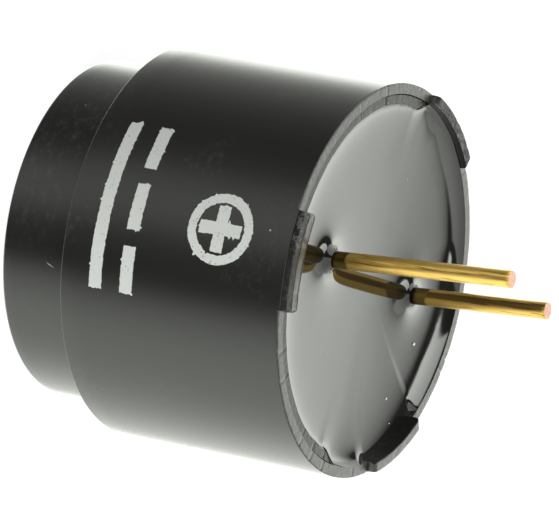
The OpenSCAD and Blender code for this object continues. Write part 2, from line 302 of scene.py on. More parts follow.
def fine_grain():
    """Group: fine uneven grain and small pits of a cast or moulded surface."""
    name = "Fine grain"
    if name in bpy.data.node_groups:
        return bpy.data.node_groups[name]
    tree, source, sink = new_group(name, ("Grain", "Pit"), (("Scale", 6.0),))
    place = millimetres(tree)
    feed(tree, sink.inputs["Grain"], speckle(tree, place, source.outputs["Scale"], detail=5))
    pits = add_node(tree, "ShaderNodeTexVoronoi", Vector=place, Scale=source.outputs["Scale"])
    flat = between(tree, pits.outputs["Distance"], low=0.1, high=0.3)
    feed(tree, sink.inputs["Pit"], sums(tree, "SUBTRACT", 1, flat))
    return tree


def drawn_lines():
    """Group: fine lines that drawing or rolling leaves along a metal piece."""
    name = "Drawn lines"
    if name in bpy.data.node_groups:
        return bpy.data.node_groups[name]
    tree, source, sink = new_group(name, ("Line", "Blotch"), (("Across", 14.0),))
    line = speckle(tree, millimetres(tree, stretch=(1, 1, 0.035)), source.outputs["Across"], detail=3)
    feed(tree, sink.inputs["Line"], line)
    blotch = speckle(tree, millimetres(tree, stretch=(1, 1, 0.3)), scale=2.2, detail=3, roughness=0.55)
    feed(tree, sink.inputs["Blotch"], blotch)
    return tree


def use_group(tree, group, **inputs):
    """Outputs of a node group that is used with some inputs."""
    made = tree.nodes.new("ShaderNodeGroup")
    made.node_tree = group
    for name, value in inputs.items():
        feed(tree, made.inputs[name], value)
    return made.outputs


def bare_material(name):
    """A material with nothing but its output: the material, its node tree and the surface socket."""
    made = bpy.data.materials.new(name)
    made.use_nodes = True
    tree = made.node_tree
    tree.nodes.clear()
    return made, tree, tree.nodes.new("ShaderNodeOutputMaterial").inputs["Surface"]


def new_finish(name, **constants):
    """A material with one Principled shader, whose constant sockets are set here."""
    made, tree, surface = bare_material(name)
    shader = add_node(tree, "ShaderNodeBsdfPrincipled", **constants)
    tree.links.new(shader.outputs["BSDF"], surface)
    return made, tree, shader


def bump(tree, height, depth):
    """Normal of a Bump node whose height runs over a depth in metres."""
    made = add_node(tree, "ShaderNodeBump", Height=height, Distance=depth, Strength=1.0)
    return made.outputs["Normal"]


def dress(tree, shader, colour, rough, normal=None):
    """Feeds a shader's colour and roughness, and its normal if there is one."""
    feed(tree, shader.inputs["Base Color"], colour)
    feed(tree, shader.inputs["Roughness"], rough)
    if normal is not None:
        feed(tree, shader.inputs["Normal"], normal)


# Finishes

# Shades of wear and dirt, and colours of painted shade, painted highlight and painted reflection, beside
# the base colours in the settings
# Black of the mottle on the rim's flats, and of the painted shade on the feet
MOTTLE_AND_SHADE_BLACK = (0.012, 0.012, 0.011)
RIM_GREY = (0.055, 0.056, 0.052)
LEDGE_GREY = (0.028, 0.029, 0.027)
TORN_BLACK = (0.006, 0.006, 0.006)
TORN_GREY = (0.12, 0.12, 0.116)
SOILED_GREY = (0.025, 0.025, 0.024)
POTTING_DUST = (0.12, 0.12, 0.115)
DULL_GOLD = (0.42, 0.26, 0.07)
STREAK_GOLD = (0.34, 0.2, 0.05)
# Brown of the painted dark reflection along the pins
REFLECTION_BROWN = (0.1, 0.058, 0.02)
SMOKE = (0.07, 0.045, 0.014)
SOOT = (0.012, 0.01, 0.007)
DULL_COPPER = (0.74, 0.42, 0.29)
THIN_INK = (0.36, 0.38, 0.37)
INK_HOLE = (0.06, 0.06, 0.06)
GREY_DUST = (0.5, 0.5, 0.48)
WIRE_SHADE = (0.16, 0.05, 0.015)
WIRE_LIGHT = (0.62, 0.25, 0.09)
HAIR_WHITENING = 0.22
SPECK_WHITENING = 0.55
INK_THINNING = 0.35
# Where the near foot is soiled, and the distances at which the soil ends and is full, in millimetres
SOIL_PLACE = (7.6, 1.6, 13.6)
SOIL_END = 2.0
SOIL_FULL = 0.9
FILM_TOP = CONTACT_Z + 0.74 * MM
SOOT_TOP = CONTACT_Z + 0.22 * MM
# Fading lengths on the pins, in millimetres
FILM_FADE = 0.12
FILM_RAGGED = 0.3
SOOT_FADE = 0.2
REFLECTION_LOW_FADE = 0.03
REFLECTION_HIGH_FADE = 0.04
REFLECTION_START_FADE = 1.5
REFLECTION_RAGGED = 0.25


def moulded_black():
    """Soft-gloss black plastic with scuffs, hair scratches and dust."""
    made, tree, shader = new_finish("moulded_black")
    marks = use_group(tree, handling_marks(), Wear=0.36)
    grain = use_group(tree, fine_grain(), Scale=5.0)
    worn = mixed(tree, marks["Scuff"], colours().moulding, colours().scuff)
    haired = mixed(tree, times(tree, marks["Hair"], HAIR_WHITENING), worn, colours().scuff)
    dusty = mixed(tree, times(tree, marks["Speck"], SPECK_WHITENING), haired, colours().dust)
    rough = scaled(tree, grain["Grain"], factor=0.05, offset=0.19)
    rough = scaled(tree, marks["Scuff"], factor=0.25, offset=rough)
    rough = scaled(tree, marks["Speck"], factor=0.4, offset=rough)
    height = scaled(tree, marks["Hair"], factor=-0.6, offset=grain["Grain"])
    dress(tree, shader, dusty, rough, bump(tree, height, depth=0.0012 * MM))
    return made


def trimmed_rim(name, pale, gloss):
    """A flat of the rim, matt from the mould, with pits and small nicks."""
    made, tree, shader = new_finish(name, Specular_IOR_Level=gloss)
    grain = use_group(tree, fine_grain(), Scale=4.2)
    marks = use_group(tree, handling_marks(), Wear=0.6, Dust=0.5)
    darkened = mixed(tree, between(tree, grain["Grain"], low=0.5, high=0.72), MOTTLE_AND_SHADE_BLACK, pale)
    pitted = mixed(tree, grain["Pit"], darkened, colours().moulding)
    rough = scaled(tree, grain["Grain"], factor=0.22, offset=0.2)
    rough = scaled(tree, marks["Scuff"], factor=0.2, offset=rough)
    height = scaled(tree, grain["Pit"], factor=-0.7, offset=grain["Grain"])
    dress(tree, shader, pitted, rough, bump(tree, height, depth=0.006 * MM))
    return made


def torn_foot():
    """Tops of the feet: torn and mottled plastic, soiled on one stretch."""
    made, tree, shader = new_finish("torn_foot", Specular_IOR_Level=0.2)
    coarse = use_group(tree, fine_grain(), Scale=3.1)
    fine = use_group(tree, fine_grain(), Scale=9.0)
    light = between(tree, times(tree, coarse["Grain"], fine["Grain"]), low=0.2, high=0.36)
    away = add_node(tree, "ShaderNodeVectorMath", {"operation": "DISTANCE"}, Vector=millimetres(tree))
    away.inputs[1].default_value = SOIL_PLACE
    soiled = between(tree, away.outputs["Value"], SOIL_END, SOIL_FULL)
    mottled = mixed(tree, light, TORN_BLACK, mixed(tree, soiled, TORN_GREY, SOILED_GREY))
    rough = scaled(tree, fine["Grain"], factor=0.3, offset=0.34)
    both = sums(tree, "ADD", coarse["Grain"], fine["Grain"])
    height = scaled(tree, fine["Pit"], factor=-0.5, offset=both)
    dress(tree, shader, mottled, rough, bump(tree, height, depth=0.05 * MM))
    return made


def poured_black():
    """Poured epoxy: a black mirror with faint waves and a little dust."""
    made, tree, shader = new_finish("poured_black", IOR=1.54)
    marks = use_group(tree, handling_marks(), Wear=0.0, Dust=0.35)
    dusty = mixed(tree, marks["Speck"], colours().potting, POTTING_DUST)
    haze = speckle(tree, millimetres(tree), scale=0.7, detail=3)
    waves = speckle(tree, millimetres(tree), scale=0.35, detail=1)
    rough = scaled(tree, haze, factor=0.035, offset=0.025)
    dress(tree, shader, dusty, rough, bump(tree, waves, depth=0.004 * MM))
    return made


def plated_gold(name, node, dark_reflection):
    """Gold over drawn wire, with streaks, a painted dark reflection along one stretch and a brown film of
    potting near its base.
    """
    made, tree, shader = new_finish(name, Metallic=1.0)
    lines = use_group(tree, drawn_lines(), Across=13.0)
    dull = mixed(tree, between(tree, lines["Blotch"], low=0.5, high=0.78), colours().gold, DULL_GOLD)
    streaked = mixed(tree, between(tree, lines["Line"], low=0.54, high=0.66), dull, STREAK_GOLD)

    place = millimetres(tree)
    parts = add_node(tree, "ShaderNodeSeparateXYZ", Vector=place).outputs
    up = parts["Z"]
    # A painted dark reflection: a ragged brown streak along the pin, over a span across it and from a
    # height up
    _, bend, _, upward = pin_line(node)
    past_bend = sums(tree, "MAXIMUM", sums(tree, "SUBTRACT", up, bend.z / MM), 0.0)
    middle = scaled(tree, past_bend, upward.y / upward.z, bend.y / MM)
    across = sums(tree, "SUBTRACT", parts["Y"], middle)
    across = scaled(tree, sums(tree, "SUBTRACT", lines["Line"], NOISE_MIDDLE), REFLECTION_RAGGED, across)
    past_low = between(tree, across, dark_reflection.low - REFLECTION_LOW_FADE, dark_reflection.low + REFLECTION_LOW_FADE)
    before_high = between(tree, across, dark_reflection.high + REFLECTION_HIGH_FADE, dark_reflection.high - REFLECTION_HIGH_FADE)
    started = between(tree, up, dark_reflection.start, dark_reflection.start + REFLECTION_START_FADE)
    darkened = times(tree, times(tree, past_low, before_high), started)
    with_dark_reflection = mixed(tree, times(tree, darkened, dark_reflection.depth), streaked, REFLECTION_BROWN)

    ragged_up = scaled(tree, speckle(tree, place, scale=3.0), FILM_RAGGED, up)
    above = between(tree, ragged_up, FILM_TOP / MM, FILM_TOP / MM + FILM_FADE)
    smoky = mixed(tree, between(tree, lines["Blotch"], low=0.42, high=0.62), colours().film, SMOKE)
    sootless = between(tree, up, SOOT_TOP / MM - SOOT_FADE, SOOT_TOP / MM)
    dipped = mixed(tree, sootless, SOOT, smoky)
    rough = scaled(tree, lines["Blotch"], factor=0.2, offset=0.27)
    gilded = mixed(tree, above, dipped, with_dark_reflection)
    dress(tree, shader, gilded, rough, bump(tree, lines["Line"], depth=0.006 * MM))
    return made


def sheared_copper():
    """Copper core where the wire was sheared off."""
    made, tree, shader = new_finish("sheared_copper", Specular_IOR_Level=0.3)
    grain = use_group(tree, fine_grain(), Scale=9.0)
    dull = mixed(tree, between(tree, grain["Grain"], low=0.42, high=0.66), colours().copper, DULL_COPPER)
    rough = scaled(tree, grain["Grain"], factor=0.25, offset=0.4)
    dress(tree, shader, dull, rough, bump(tree, grain["Grain"], depth=0.02 * MM))
    return made


def pale_ink():
    """Printed ink, pale grey with pinholes and thin spots."""
    made, tree, shader = new_finish("pale_ink")
    grain = use_group(tree, fine_grain(), Scale=8.0)
    thin = times(tree, between(tree, grain["Grain"], low=0.56, high=0.72), INK_THINNING)
    inked = mixed(tree, thin, colours().ink, THIN_INK)
    patch = speckle(tree, millimetres(tree), scale=2.1)
    hole = times(tree, grain["Pit"], between(tree, patch, low=0.58, high=0.64))
    holed = mixed(tree, hole, inked, INK_HOLE)
    rough = scaled(tree, grain["Grain"], factor=0.2, offset=0.45)
    dress(tree, shader, holed, rough, bump(tree, grain["Grain"], depth=0.003 * MM))
    return made


def pale_dust():
    """White dust and raised slivers of plastic."""
    made, tree, shader = new_finish("pale_dust")
    grain = use_group(tree, fine_grain(), Scale=12.0)
    uneven = mixed(tree, grain["Grain"], colours().dust, GREY_DUST)
    dress(tree, shader, uneven, scaled(tree, grain["Grain"], factor=0.3, offset=0.5))
    return made


def cast_finish(name, light, dark, scale, least_rough, depth):
    """A matt cast, moulded or pressed material with grain and pits."""
    made, tree, shader = new_finish(name)
    grain = use_group(tree, fine_grain(), Scale=scale)
    uneven = mixed(tree, grain["Grain"], light, dark)
    height = scaled(tree, grain["Pit"], factor=-0.4, offset=grain["Grain"])
    rough = scaled(tree, grain["Grain"], factor=0.2, offset=least_rough)
    dress(tree, shader, uneven, rough, bump(tree, height, depth))
    return made


def metal_finish(name, light, dark, across, least_rough):
    """A rolled, plated or drawn metal with fine lines."""
    made, tree, shader = new_finish(name, Metallic=1.0)
    lines = use_group(tree, drawn_lines(), Across=across)
    uneven = mixed(tree, lines["Blotch"], light, dark)
    rough = scaled(tree, lines["Line"], factor=0.25, offset=least_rough)
    dress(tree, shader, uneven, rough, bump(tree, lines["Line"], depth=0.004 * MM))
    return made


def wound_copper():
    """Enamelled copper wire laid in turns round the spool, with painted shade between the turns and a
    painted highlight along them.
    """
    made, tree, shader = new_finish("wound_copper", Metallic=0.8)
    turns = add_node(tree, "ShaderNodeTexWave", {"bands_direction": "Z"}, Vector=millimetres(tree),
                     Scale=1.9, Distortion=0.5, Detail=1.0).outputs["Fac"]
    shaded = mixed(tree, turns, WIRE_SHADE, WIRE_LIGHT)
    rough = scaled(tree, turns, factor=-0.15, offset=0.4)
    dress(tree, shader, shaded, rough, bump(tree, turns, depth=0.03 * MM))
    return made


# Meshes

SQUARE = ((-1, -1), (1, -1), (1, 1), (-1, 1))


def new_object(name, data):
    """An object with its data, linked to the scene."""
    made = bpy.data.objects.new(name, data)
    bpy.context.scene.collection.objects.link(made)
    return made


def new_piece(name, vertices, faces, finishes, finish_of=None, smooth_angle=40):
    """An object from vertices and faces, with its finishes, smooth up to an angle in degrees."""
    mesh = bpy.data.meshes.new(name)
    mesh.from_pydata(vertices, [], faces)
    for finish in finishes:
        mesh.materials.append(finish)
    if finish_of:
        mesh.polygons.foreach_set("material_index", finish_of)
    smooth(mesh)
    mesh.update()
    mesh.set_sharp_from_angle(angle=math.radians(smooth_angle))
    return new_object(name, mesh)


def smooth(mesh):
    mesh.polygons.foreach_set("use_smooth", [True] * len(mesh.polygons))


def place_piece(piece, slot, *nodes):
    """Lets a piece ride on the part and stand for CAD nodes. The slot is not used."""
    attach(piece, BODY)
    if nodes:
        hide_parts(*nodes)


def tube_faces(row_count, column_count):
    """Faces of a tube that runs through rows of corners."""
    faces = []
    for row in range(row_count - 1):
        here, beyond = row * column_count, (row + 1) * column_count
        for k in range(column_count):
            after = (k + 1) % column_count
            faces.append((here + k, here + after, beyond + after, beyond + k))
    return faces


def arc(middle_r, middle_z, radius, start, stop, count):
    """Points of an arc in a half section, between two angles in degrees."""
    turns = [math.radians(start + (stop - start) * i / count) for i in range(count + 1)]
    return [(middle_r + radius * math.cos(t), middle_z + radius * math.sin(t)) for t in turns]


def on_round(radius, turn, height):
    """Place at a radius, an angle and a height."""
    return (radius * math.cos(turn), radius * math.sin(turn), height)


def ripple(place, scale, depth):
    """Smooth unevenness at a place, with features of 1 / scale millimetres."""
    return noise.noise(Vector(place) / MM * scale) * depth


def ripples(place, rows):
    """Sum of several ripples, each given by its scale and depth."""
    return sum(ripple(place, scale, depth) for scale, depth in rows)


def share_steps(start, stop, count):
    """Values from start to stop, both included."""
    return [start + (stop - start) * i / count for i in range(count + 1)]


def eased(low, high, value):
    """0 at the low value and below, 1 at the high one and above, smooth between them."""
    share = min(1.0, max(0.0, (value - low) / (high - low)))
    return share * share * (3 - 2 * share)


# Housing

Row = namedtuple("Row", "radius height part jag finish seam", defaults=(None,))
Column = namedtuple("Column", "start start_offset stop stop_offset way lift foot")
Foot = namedtuple("Foot", "turn width")
Seam = namedtuple("Seam", "lift depth")
FEET = (
    Foot(math.radians(5), 3.95 * MM),
    Foot(math.radians(128.4), 3.83 * MM),
    Foot(math.radians(246.3), 4.4 * MM),
)
NEAR_FOOT, LOWER_FOOT = 0, 1
WALL, SEAM, RIM, GROOVE, LEDGE = range(5)
# Finishes of the can by index; the last is a flat black of painted shade
PLAIN, TRIMMED, LOWERED, TORN, PAINTED_SHADE = range(5)
RIM_COLUMNS = 240
FOOT_COLUMNS = 36
CORNER_COLUMNS = 6
CORNER_TURN = math.radians(84)
FOOT_FOOTING = 0.025 * MM
# Steps along each stretch of the section
FRONT_EDGE_STEPS = 6
NECK_STEPS = 8
FILLET_STEPS = 4
SHOULDER_STEPS = 5
BODY_STEPS = 10
RIM_EDGE_STEPS = 4
RIM_STEPS = 7
LEDGE_STEPS = 5
LEDGE_EDGE_STEPS = 3
# Unevenness of the rim: how much of it each stretch has, and its scales and depths
RIM_EDGE_JAG = 0.7
RIM_JAG = 0.35
GROOVE_JAG = 1
LEDGE_JAG = 0.5
JAG_RIPPLES = ((1.1, 0.018 * MM), (4.3, 0.016 * MM))
PIT_SCALE = 3.1
PIT_DEPTH = 0.012 * MM
FOOT_PIT_GAIN = 1.5
# The seam on a foot's outer face: the shares of the foot's height at which it lies, each with its depth
SEAMS = (Seam(0.4, 0), Seam(0.44, 0.035 * MM), Seam(0.5, 0.012 * MM))
# Width of the pale band on top of the lower foot; the rest of that top is painted shade
FOOT_BAND = 0.42 * MM
LIP_REACH = 0.15 * MM
LIP_CORNER = 0.3 * MM
# Nicks at random places of the rim: their half widths in radians and depths in millimetres
NICK_COUNT = 20
NICK_SEED = 11
NICK_WIDTHS = (0.003, 0.011)
NICK_DEPTHS = (0.008, 0.05)
# Cracks across the rim: angle in degrees, half width in radians and depth
CRACKS = (
    (-68.1, 0.005, 0.06 * MM),
    (84.0, 0.005, 0.05 * MM),
    (41.7, 0.004, 0.05 * MM),
    (-52, 0.004, 0.03 * MM),
)
RIM_EDGE = 0.045 * MM
LIP_EDGE = 1.5 * RIM_EDGE
GROOVE_W = 0.05 * MM
GROOVE_DEPTH = 0.07 * MM
# Where the potting covers the ledge, and how far the ledge sinks below it there
FLOOD_MIDDLE = math.radians(177)
FLOOD_HALF = math.radians(93)
FLOOD_FADE = math.radians(8)
FLOOD_DROP = 0.3 * MM
FLOOD_DROP_FROM = 0.75


def flooded(turn):
    """1 on the part of the rim where the potting covers the ledge, and 0 where the ledge shows."""
    away = abs((turn - FLOOD_MIDDLE + math.pi) % FULL_TURN - math.pi)
    return 1 - eased(FLOOD_HALF - FLOOD_FADE, FLOOD_HALF, away)


def foot_stations(width):
    """Offsets from a foot's middle along the rim, each with the height share that the foot has there."""
    half, corner, high = width / 2, sizes().foot_corner, sizes().foot_h
    flat = half - corner
    rounding = [CORNER_TURN * i / CORNER_COLUMNS for i in range(CORNER_COLUMNS + 1)]
    side = [(flat + corner * math.sin(t), 1 - corner / high * (1 - math.cos(t))) for t in rounding]
    side.append((half + FOOT_FOOTING, 0))
    top = [(offset, 1) for offset in share_steps(-flat, flat, FOOT_COLUMNS)]
    return [(-offset, lift) for offset, lift in reversed(side)] + top[1:-1] + side


def housing_columns():
    """Columns round the housing, foot by foot, each foot with the stretch of rim after it."""
    columns = []
    for i, foot in enumerate(FEET):
        after = FEET[(i + 1) % len(FEET)]
        stations = foot_stations(foot.width)
        columns += [Column(foot.turn, offset, foot.turn, offset, 0, lift, i) for offset, lift in stations]
        after_turn = after.turn if after.turn > foot.turn else after.turn + FULL_TURN
        ends = foot.turn, stations[-1][0], after_turn, foot_stations(after.width)[0][0]
        columns += [Column(*ends, k / RIM_COLUMNS, 0, None) for k in range(1, RIM_COLUMNS)]
    return columns


def column_turn(column, radius):
    """Angle of a column at a radius: a foot's ends run parallel to the foot's middle line."""
    held = min(max(radius, MOUTH_R), BODY_R)
    start = column.start + math.asin(column.start_offset / held)
    stop = column.stop + math.asin(column.stop_offset / held)
    return start + (stop - start) * column.way


def housing_rows():
    """Rows round the section, from the sound hole outside to the rim and back inside."""
    s = sizes()
    wall_r = BODY_R - s.ink_t
    rim_z = FOOT_TOP - s.foot_h
    ledge_z = rim_z - s.ledge_depth
    ledge_r = MOUTH_R + s.ledge_w
    chamber_r = NECK_R - s.neck_wall
    soft = s.edge_r / 2

    neck_heights = share_steps(s.edge_r, NECK_H - soft, NECK_STEPS)
    body_heights = share_steps(NECK_H + s.shoulder_r, rim_z - 4 * RIM_EDGE, BODY_STEPS)
    outside = [(s.hole_r + soft, 0)]
    outside += arc(NECK_R - s.edge_r, s.edge_r, s.edge_r, -90, 0, FRONT_EDGE_STEPS)
    outside += [(NECK_R, z) for z in neck_heights[1:]]
    outside += arc(NECK_R + soft, NECK_H - soft, soft, 180, 90, FILLET_STEPS)[1:]
    outside += arc(wall_r - s.shoulder_r, NECK_H + s.shoulder_r, s.shoulder_r, -90, 0, SHOULDER_STEPS)
    outside += [(wall_r, z) for z in body_heights[1:]]
    rows = [Row(r, z, WALL, 0, PLAIN) for r, z in outside]
    for i, seam in enumerate(SEAMS):
        seam_z = rim_z - (2 - i / len(SEAMS)) * RIM_EDGE
        rows.append(Row(wall_r, seam_z, SEAM, 0, PLAIN, seam))

    edge = arc(wall_r - RIM_EDGE, rim_z - RIM_EDGE, RIM_EDGE, 0, 90, RIM_EDGE_STEPS)
    rows += [Row(r, z, RIM, RIM_EDGE_JAG, TRIMMED) for r, z in edge]
    flat = share_steps(wall_r - RIM_EDGE, ledge_r + GROOVE_W / 2, RIM_STEPS)[1:]
    rows += [Row(r, rim_z, RIM, RIM_JAG, TRIMMED) for r in flat]
    rows.append(Row(ledge_r + GROOVE_W / 4, rim_z - GROOVE_DEPTH, GROOVE, GROOVE_JAG, LOWERED))
    rows.append(Row(ledge_r - GROOVE_W / 4, ledge_z - GROOVE_DEPTH / 2, LEDGE, GROOVE_JAG, LOWERED))
    ledge = [(r, ledge_z) for r in share_steps(ledge_r - GROOVE_W / 2, MOUTH_R + RIM_EDGE, LEDGE_STEPS)]
    ledge += arc(MOUTH_R + RIM_EDGE, ledge_z - RIM_EDGE, RIM_EDGE, 90, 180, LEDGE_EDGE_STEPS)[1:]
    rows += [Row(r, z, LEDGE, LEDGE_JAG, LOWERED) for r, z in ledge]

    inside_wall = [
        (MOUTH_R, BOARD_UNDER_Z), (BORE_R, BOARD_UNDER_Z),
        (BORE_R, SHOULDER_IN_Z), (chamber_r, SHOULDER_IN_Z),
        (chamber_r, s.front_wall), (s.hole_r, s.front_wall), (s.hole_r, soft),
    ]
    return rows + [Row(r, z, WALL, 0, PLAIN) for r, z in inside_wall]


def rim_nicks():
    """Places round the rim that were nicked or cracked, each with its width in radians and its depth."""
    dice = random.Random(NICK_SEED)
    nicks = [(dice.uniform(0, FULL_TURN), dice.uniform(*NICK_WIDTHS), dice.uniform(*NICK_DEPTHS) * MM)
             for _ in range(NICK_COUNT)]
    return nicks + [(math.radians(turn), width, depth) for turn, width, depth in CRACKS]


def nick_depth(nicks, turn):
    """Depth of the deepest nick at an angle."""
    deepest = 0
    for place, width, depth in nicks:
        away = (turn - place + math.pi) % FULL_TURN - math.pi
        deepest = max(deepest, depth * math.exp(-(away / width) ** 2))
    return deepest


def lip_share(column):
    """How far the near foot's inner lip reaches at a column: full in the middle, round at its ends."""
    from_end = FEET[NEAR_FOOT].width / 2 - abs(column.start_offset)
    short = 1 - min(1.0, max(0.0, from_end / LIP_CORNER))
    return math.sqrt(1 - short * short)


def housing_point(row, column, nicks):
    """Place of one corner of the housing's mesh."""
    s = sizes()
    radius, height = row.radius, row.height
    turn = column_turn(column, radius)
    if row.part == SEAM:
        height += column.lift * row.seam.lift * s.foot_h
        radius -= column.lift * row.seam.depth
    elif row.part == RIM:
        height += column.lift * s.foot_h
    elif row.part != WALL and column.foot == NEAR_FOOT:
        height += column.lift * (s.foot_h + (s.ledge_depth if row.part == LEDGE else 0))
        radius -= LIP_REACH * lip_share(column) * (MOUTH_R + s.ledge_w - radius) / s.ledge_w
    elif row.part != WALL:
        flood = flooded(turn)
        height -= eased(FLOOD_DROP_FROM, 1, flood) * FLOOD_DROP
        if row.part == LEDGE:
            radius += flood * max(0.0, MOUTH_R + s.ledge_w - GROOVE_W - radius)
    if row.jag:
        place = on_round(radius, turn, height)
        radius += row.jag * ripples(place, JAG_RIPPLES)
        radius = min(radius, BODY_R - s.ink_t)
        pit = ripple(place, PIT_SCALE, PIT_DEPTH * (1 + FOOT_PIT_GAIN * column.lift))
        height -= row.jag * (abs(pit) + nick_depth(nicks, turn))
    return on_round(radius, turn, height)


def strip_finish(row, below, column, on_foot):
    """Finish of the strip between two rows of the section. Painted shade goes on the near foot's inner
    edges and on the lower foot's top inside its pale band.
    """
    if not on_foot or row.part == WALL:
        return row.finish
    if row.part == SEAM:
        return TORN if row.seam.depth else PLAIN
    if row.part == RIM:
        # Painted shade on the near foot's top next to its step down to the lip
        if column.foot == NEAR_FOOT and below.radius < MOUTH_R + sizes().ledge_w + GROOVE_W:
            return PAINTED_SHADE
        # Painted shade on the lower foot's top, all but a pale band at its outer edge
        if column.foot == LOWER_FOOT:
            return PAINTED_SHADE if below.radius < BODY_R - FOOT_BAND else TRIMMED
        return PLAIN if below.part == GROOVE else TORN
    # A painted shadow along the near foot's lip where it meets the potting
    if column.foot == NEAR_FOOT and below.radius < MOUTH_R + LIP_EDGE:
        return PAINTED_SHADE
    return TRIMMED


def build_housing():
    """The can: the rows of its section carried round its columns."""
    rows, columns, nicks = housing_rows(), housing_columns(), rim_nicks()
    vertices = [housing_point(row, column, nicks) for column in columns for row in rows]
    faces, finish_of, corners = [], [], []
    count = len(rows)
    runs = [0]
    for first, second in zip(rows, rows[1:] + rows[:1]):
        runs.append(runs[-1] + math.hypot(second.radius - first.radius, second.height - first.height))
    for c, column in enumerate(columns):
        after = (c + 1) % len(columns)
        on_foot = column.lift > 0 and columns[after].lift > 0
        for r in range(count):
            below = (r + 1) % count
            faces.append((c * count + r, after * count + r, after * count + below, c * count + below))
            finish_of.append(strip_finish(rows[r], rows[below], column, on_foot))
            corners += [(c, runs[r]), (c + 1, runs[r]), (c + 1, runs[r + 1]), (c, runs[r + 1])]
    finishes = [
        moulded_black(),
        trimmed_rim("trimmed_rim", RIM_GREY, gloss=0.5),
        trimmed_rim("lowered_ledge", LEDGE_GREY, gloss=0.22),
        torn_foot(),
        # A flat black of painted shade for the feet
        trimmed_rim("painted_shade_black", MOTTLE_AND_SHADE_BLACK, gloss=0.06),
    ]
    piece = new_piece("can_shell", vertices, faces, finishes, finish_of, smooth_angle=38)
    chart = piece.data.uv_layers.new(name="UVMap")
    for loop, (c, run) in zip(chart.data, corners):
        loop.uv = (c / len(columns), run / runs[-1])
    return piece


# Potting

POUR_RINGS = 46
POUR_EDGE_RINGS = 28
POUR_COLUMNS = 420
POUR_LEAST_COLUMNS = 12
# Share of the mouth's radius from which a ring has all its columns
POUR_FULL_FROM = 0.6
POUR_EDGE_W = 1.3 * MM
POUR_WELD = 1e-7
# Rings round a pin: the first one's share of the pin's radius, and how they crowd towards the pin
PIN_RINGS = 24
PIN_RING_COLUMNS = 72
PIN_RING_REACH = 1.3 * MM
PIN_RING_START = 0.9
PIN_RING_POWER = 1.6
PIN_RING_CLEAR = 1.02
# Climb of the potting round a pin: heights and the distances in which they fade
PIN_CLIMB = {
    "positive_pin": ((0.25 * MM, 0.15 * MM), (0.09 * MM, 0.42 * MM), (0.05 * MM, 1.3 * MM)),
    "negative_pin": ((0.12 * MM, 0.15 * MM), (0.08 * MM, 0.42 * MM), (0.04 * MM, 1.3 * MM)),
}
DISH_H = 0.14 * MM
TILT = 0.012
TILT_TURN = math.radians(225)
# The pour's edge by sectors: the angle in degrees, then in millimetres the height and the width of its
# slope and the width of its lip, then the share of the remaining rise that the lip takes
Sector = namedtuple("Sector", "turn slope_h slope_w lip_w lip_share")
SECTORS = tuple(
    Sector(math.radians(turn), slope_h * MM, slope_w * MM, lip_w * MM, lip_share)
    for turn, slope_h, slope_w, lip_w, lip_share in (
        (80, 0.08, 0.5, 0.1, 1),
        (92, 0.08, 0.7, 0.22, 1),
        (108, 0.08, 0.92, 0.22, 1),
        (114, 0.08, 0.95, 0.22, 0),
        (144, 0.08, 1.0, 0.34, 0),
        (147.5, 0.08, 0.6, 0.34, 1),
        (175, 0.1, 0.8, 0.3, 1),
        (192, 0.1, 0.8, 0.3, 1),
        (205, 0.03, 0.7, 0.3, 1),
        (250, 0.02, 0.7, 0.3, 1),
        (264, 0.05, 0.6, 0.1, 1),
        (290, 0.08, 0.5, 0.1, 1),
    )
)
EDGE_LAP = 0.03 * MM
EDGE_RISE = 0.004 * MM
EDGE_RIPPLES = ((1.3, 0.025 * MM), (4.1, 0.02 * MM))
FLOOD_RISE = 0.056 * MM
WAVE_SCALE = 0.16
WAVE_DEPTH = 0.006 * MM
SLOPE_STEP = 0.004 * MM
STEM_SLICE = 0.01 * MM


def pin_stem(node):
    """Where a pin's straight stem stands, as its x and y."""
    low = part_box(node)[0].z
    return middle_of(node, low, low + STEM_SLICE).to_2d()


pin_stem_of = {node: pin_stem(node) for node in ("positive_pin", "negative_pin")}


def contact_line(turn):
    """Even radius, ragged radius and height of the potting's edge, on the ledge's edge or past it."""
    flood = flooded(turn)
    uneven = ripples(on_round(MOUTH_R, turn, 0), EDGE_RIPPLES) * (1 - flood)
    radius = MOUTH_R + EDGE_LAP + flood * sizes().ledge_w
    return radius, radius + uneven, CONTACT_Z + EDGE_RISE + flood * FLOOD_RISE


def sector_at(turn):
    """Shape of the pour at an angle, eased between the sectors on both sides."""
    turn %= FULL_TURN
    for before, after in zip(SECTORS[-1:] + SECTORS, SECTORS + SECTORS[:1]):
        start = before.turn - (FULL_TURN if before.turn > after.turn and turn < after.turn else 0)
        stop = after.turn + (FULL_TURN if after.turn < start else 0)
        if start <= turn < stop:
            share = eased(start, stop, turn)
            return Sector(*(a + (b - a) * share for a, b in zip(before, after)))


def pour_height(x, y):
    """Height of the potting's surface: a shallow dish that climbs the wall and the pins."""
    s = sizes()
    radius = math.hypot(x, y)
    turn = math.atan2(y, x)
    edge_r, ragged_r, edge_z = contact_line(turn)
    sector = sector_at(turn)
    level = CONTACT_Z - s.pour_drop
    tilt = TILT * math.cos(turn - TILT_TURN)
    height = level + DISH_H * (min(radius, edge_r) / MOUTH_R) ** 2 + tilt * radius
    height += sector.slope_h * math.exp(-max(0.0, edge_r - radius) / sector.slope_w)
    lip_h = edge_z - level - DISH_H * (edge_r / MOUTH_R) ** 2 - tilt * edge_r - sector.slope_h
    height += sector.lip_share * lip_h * math.exp(-max(0.0, ragged_r - radius) / sector.lip_w)
    for node, stem in pin_stem_of.items():
        from_pin = max(0.0, (Vector((x, y)) - stem).length - s.pin_r)
        height += sum(rise * math.exp(-from_pin / fade) for rise, fade in PIN_CLIMB[node])
    return height + ripple((x, y, 0), WAVE_SCALE, WAVE_DEPTH)


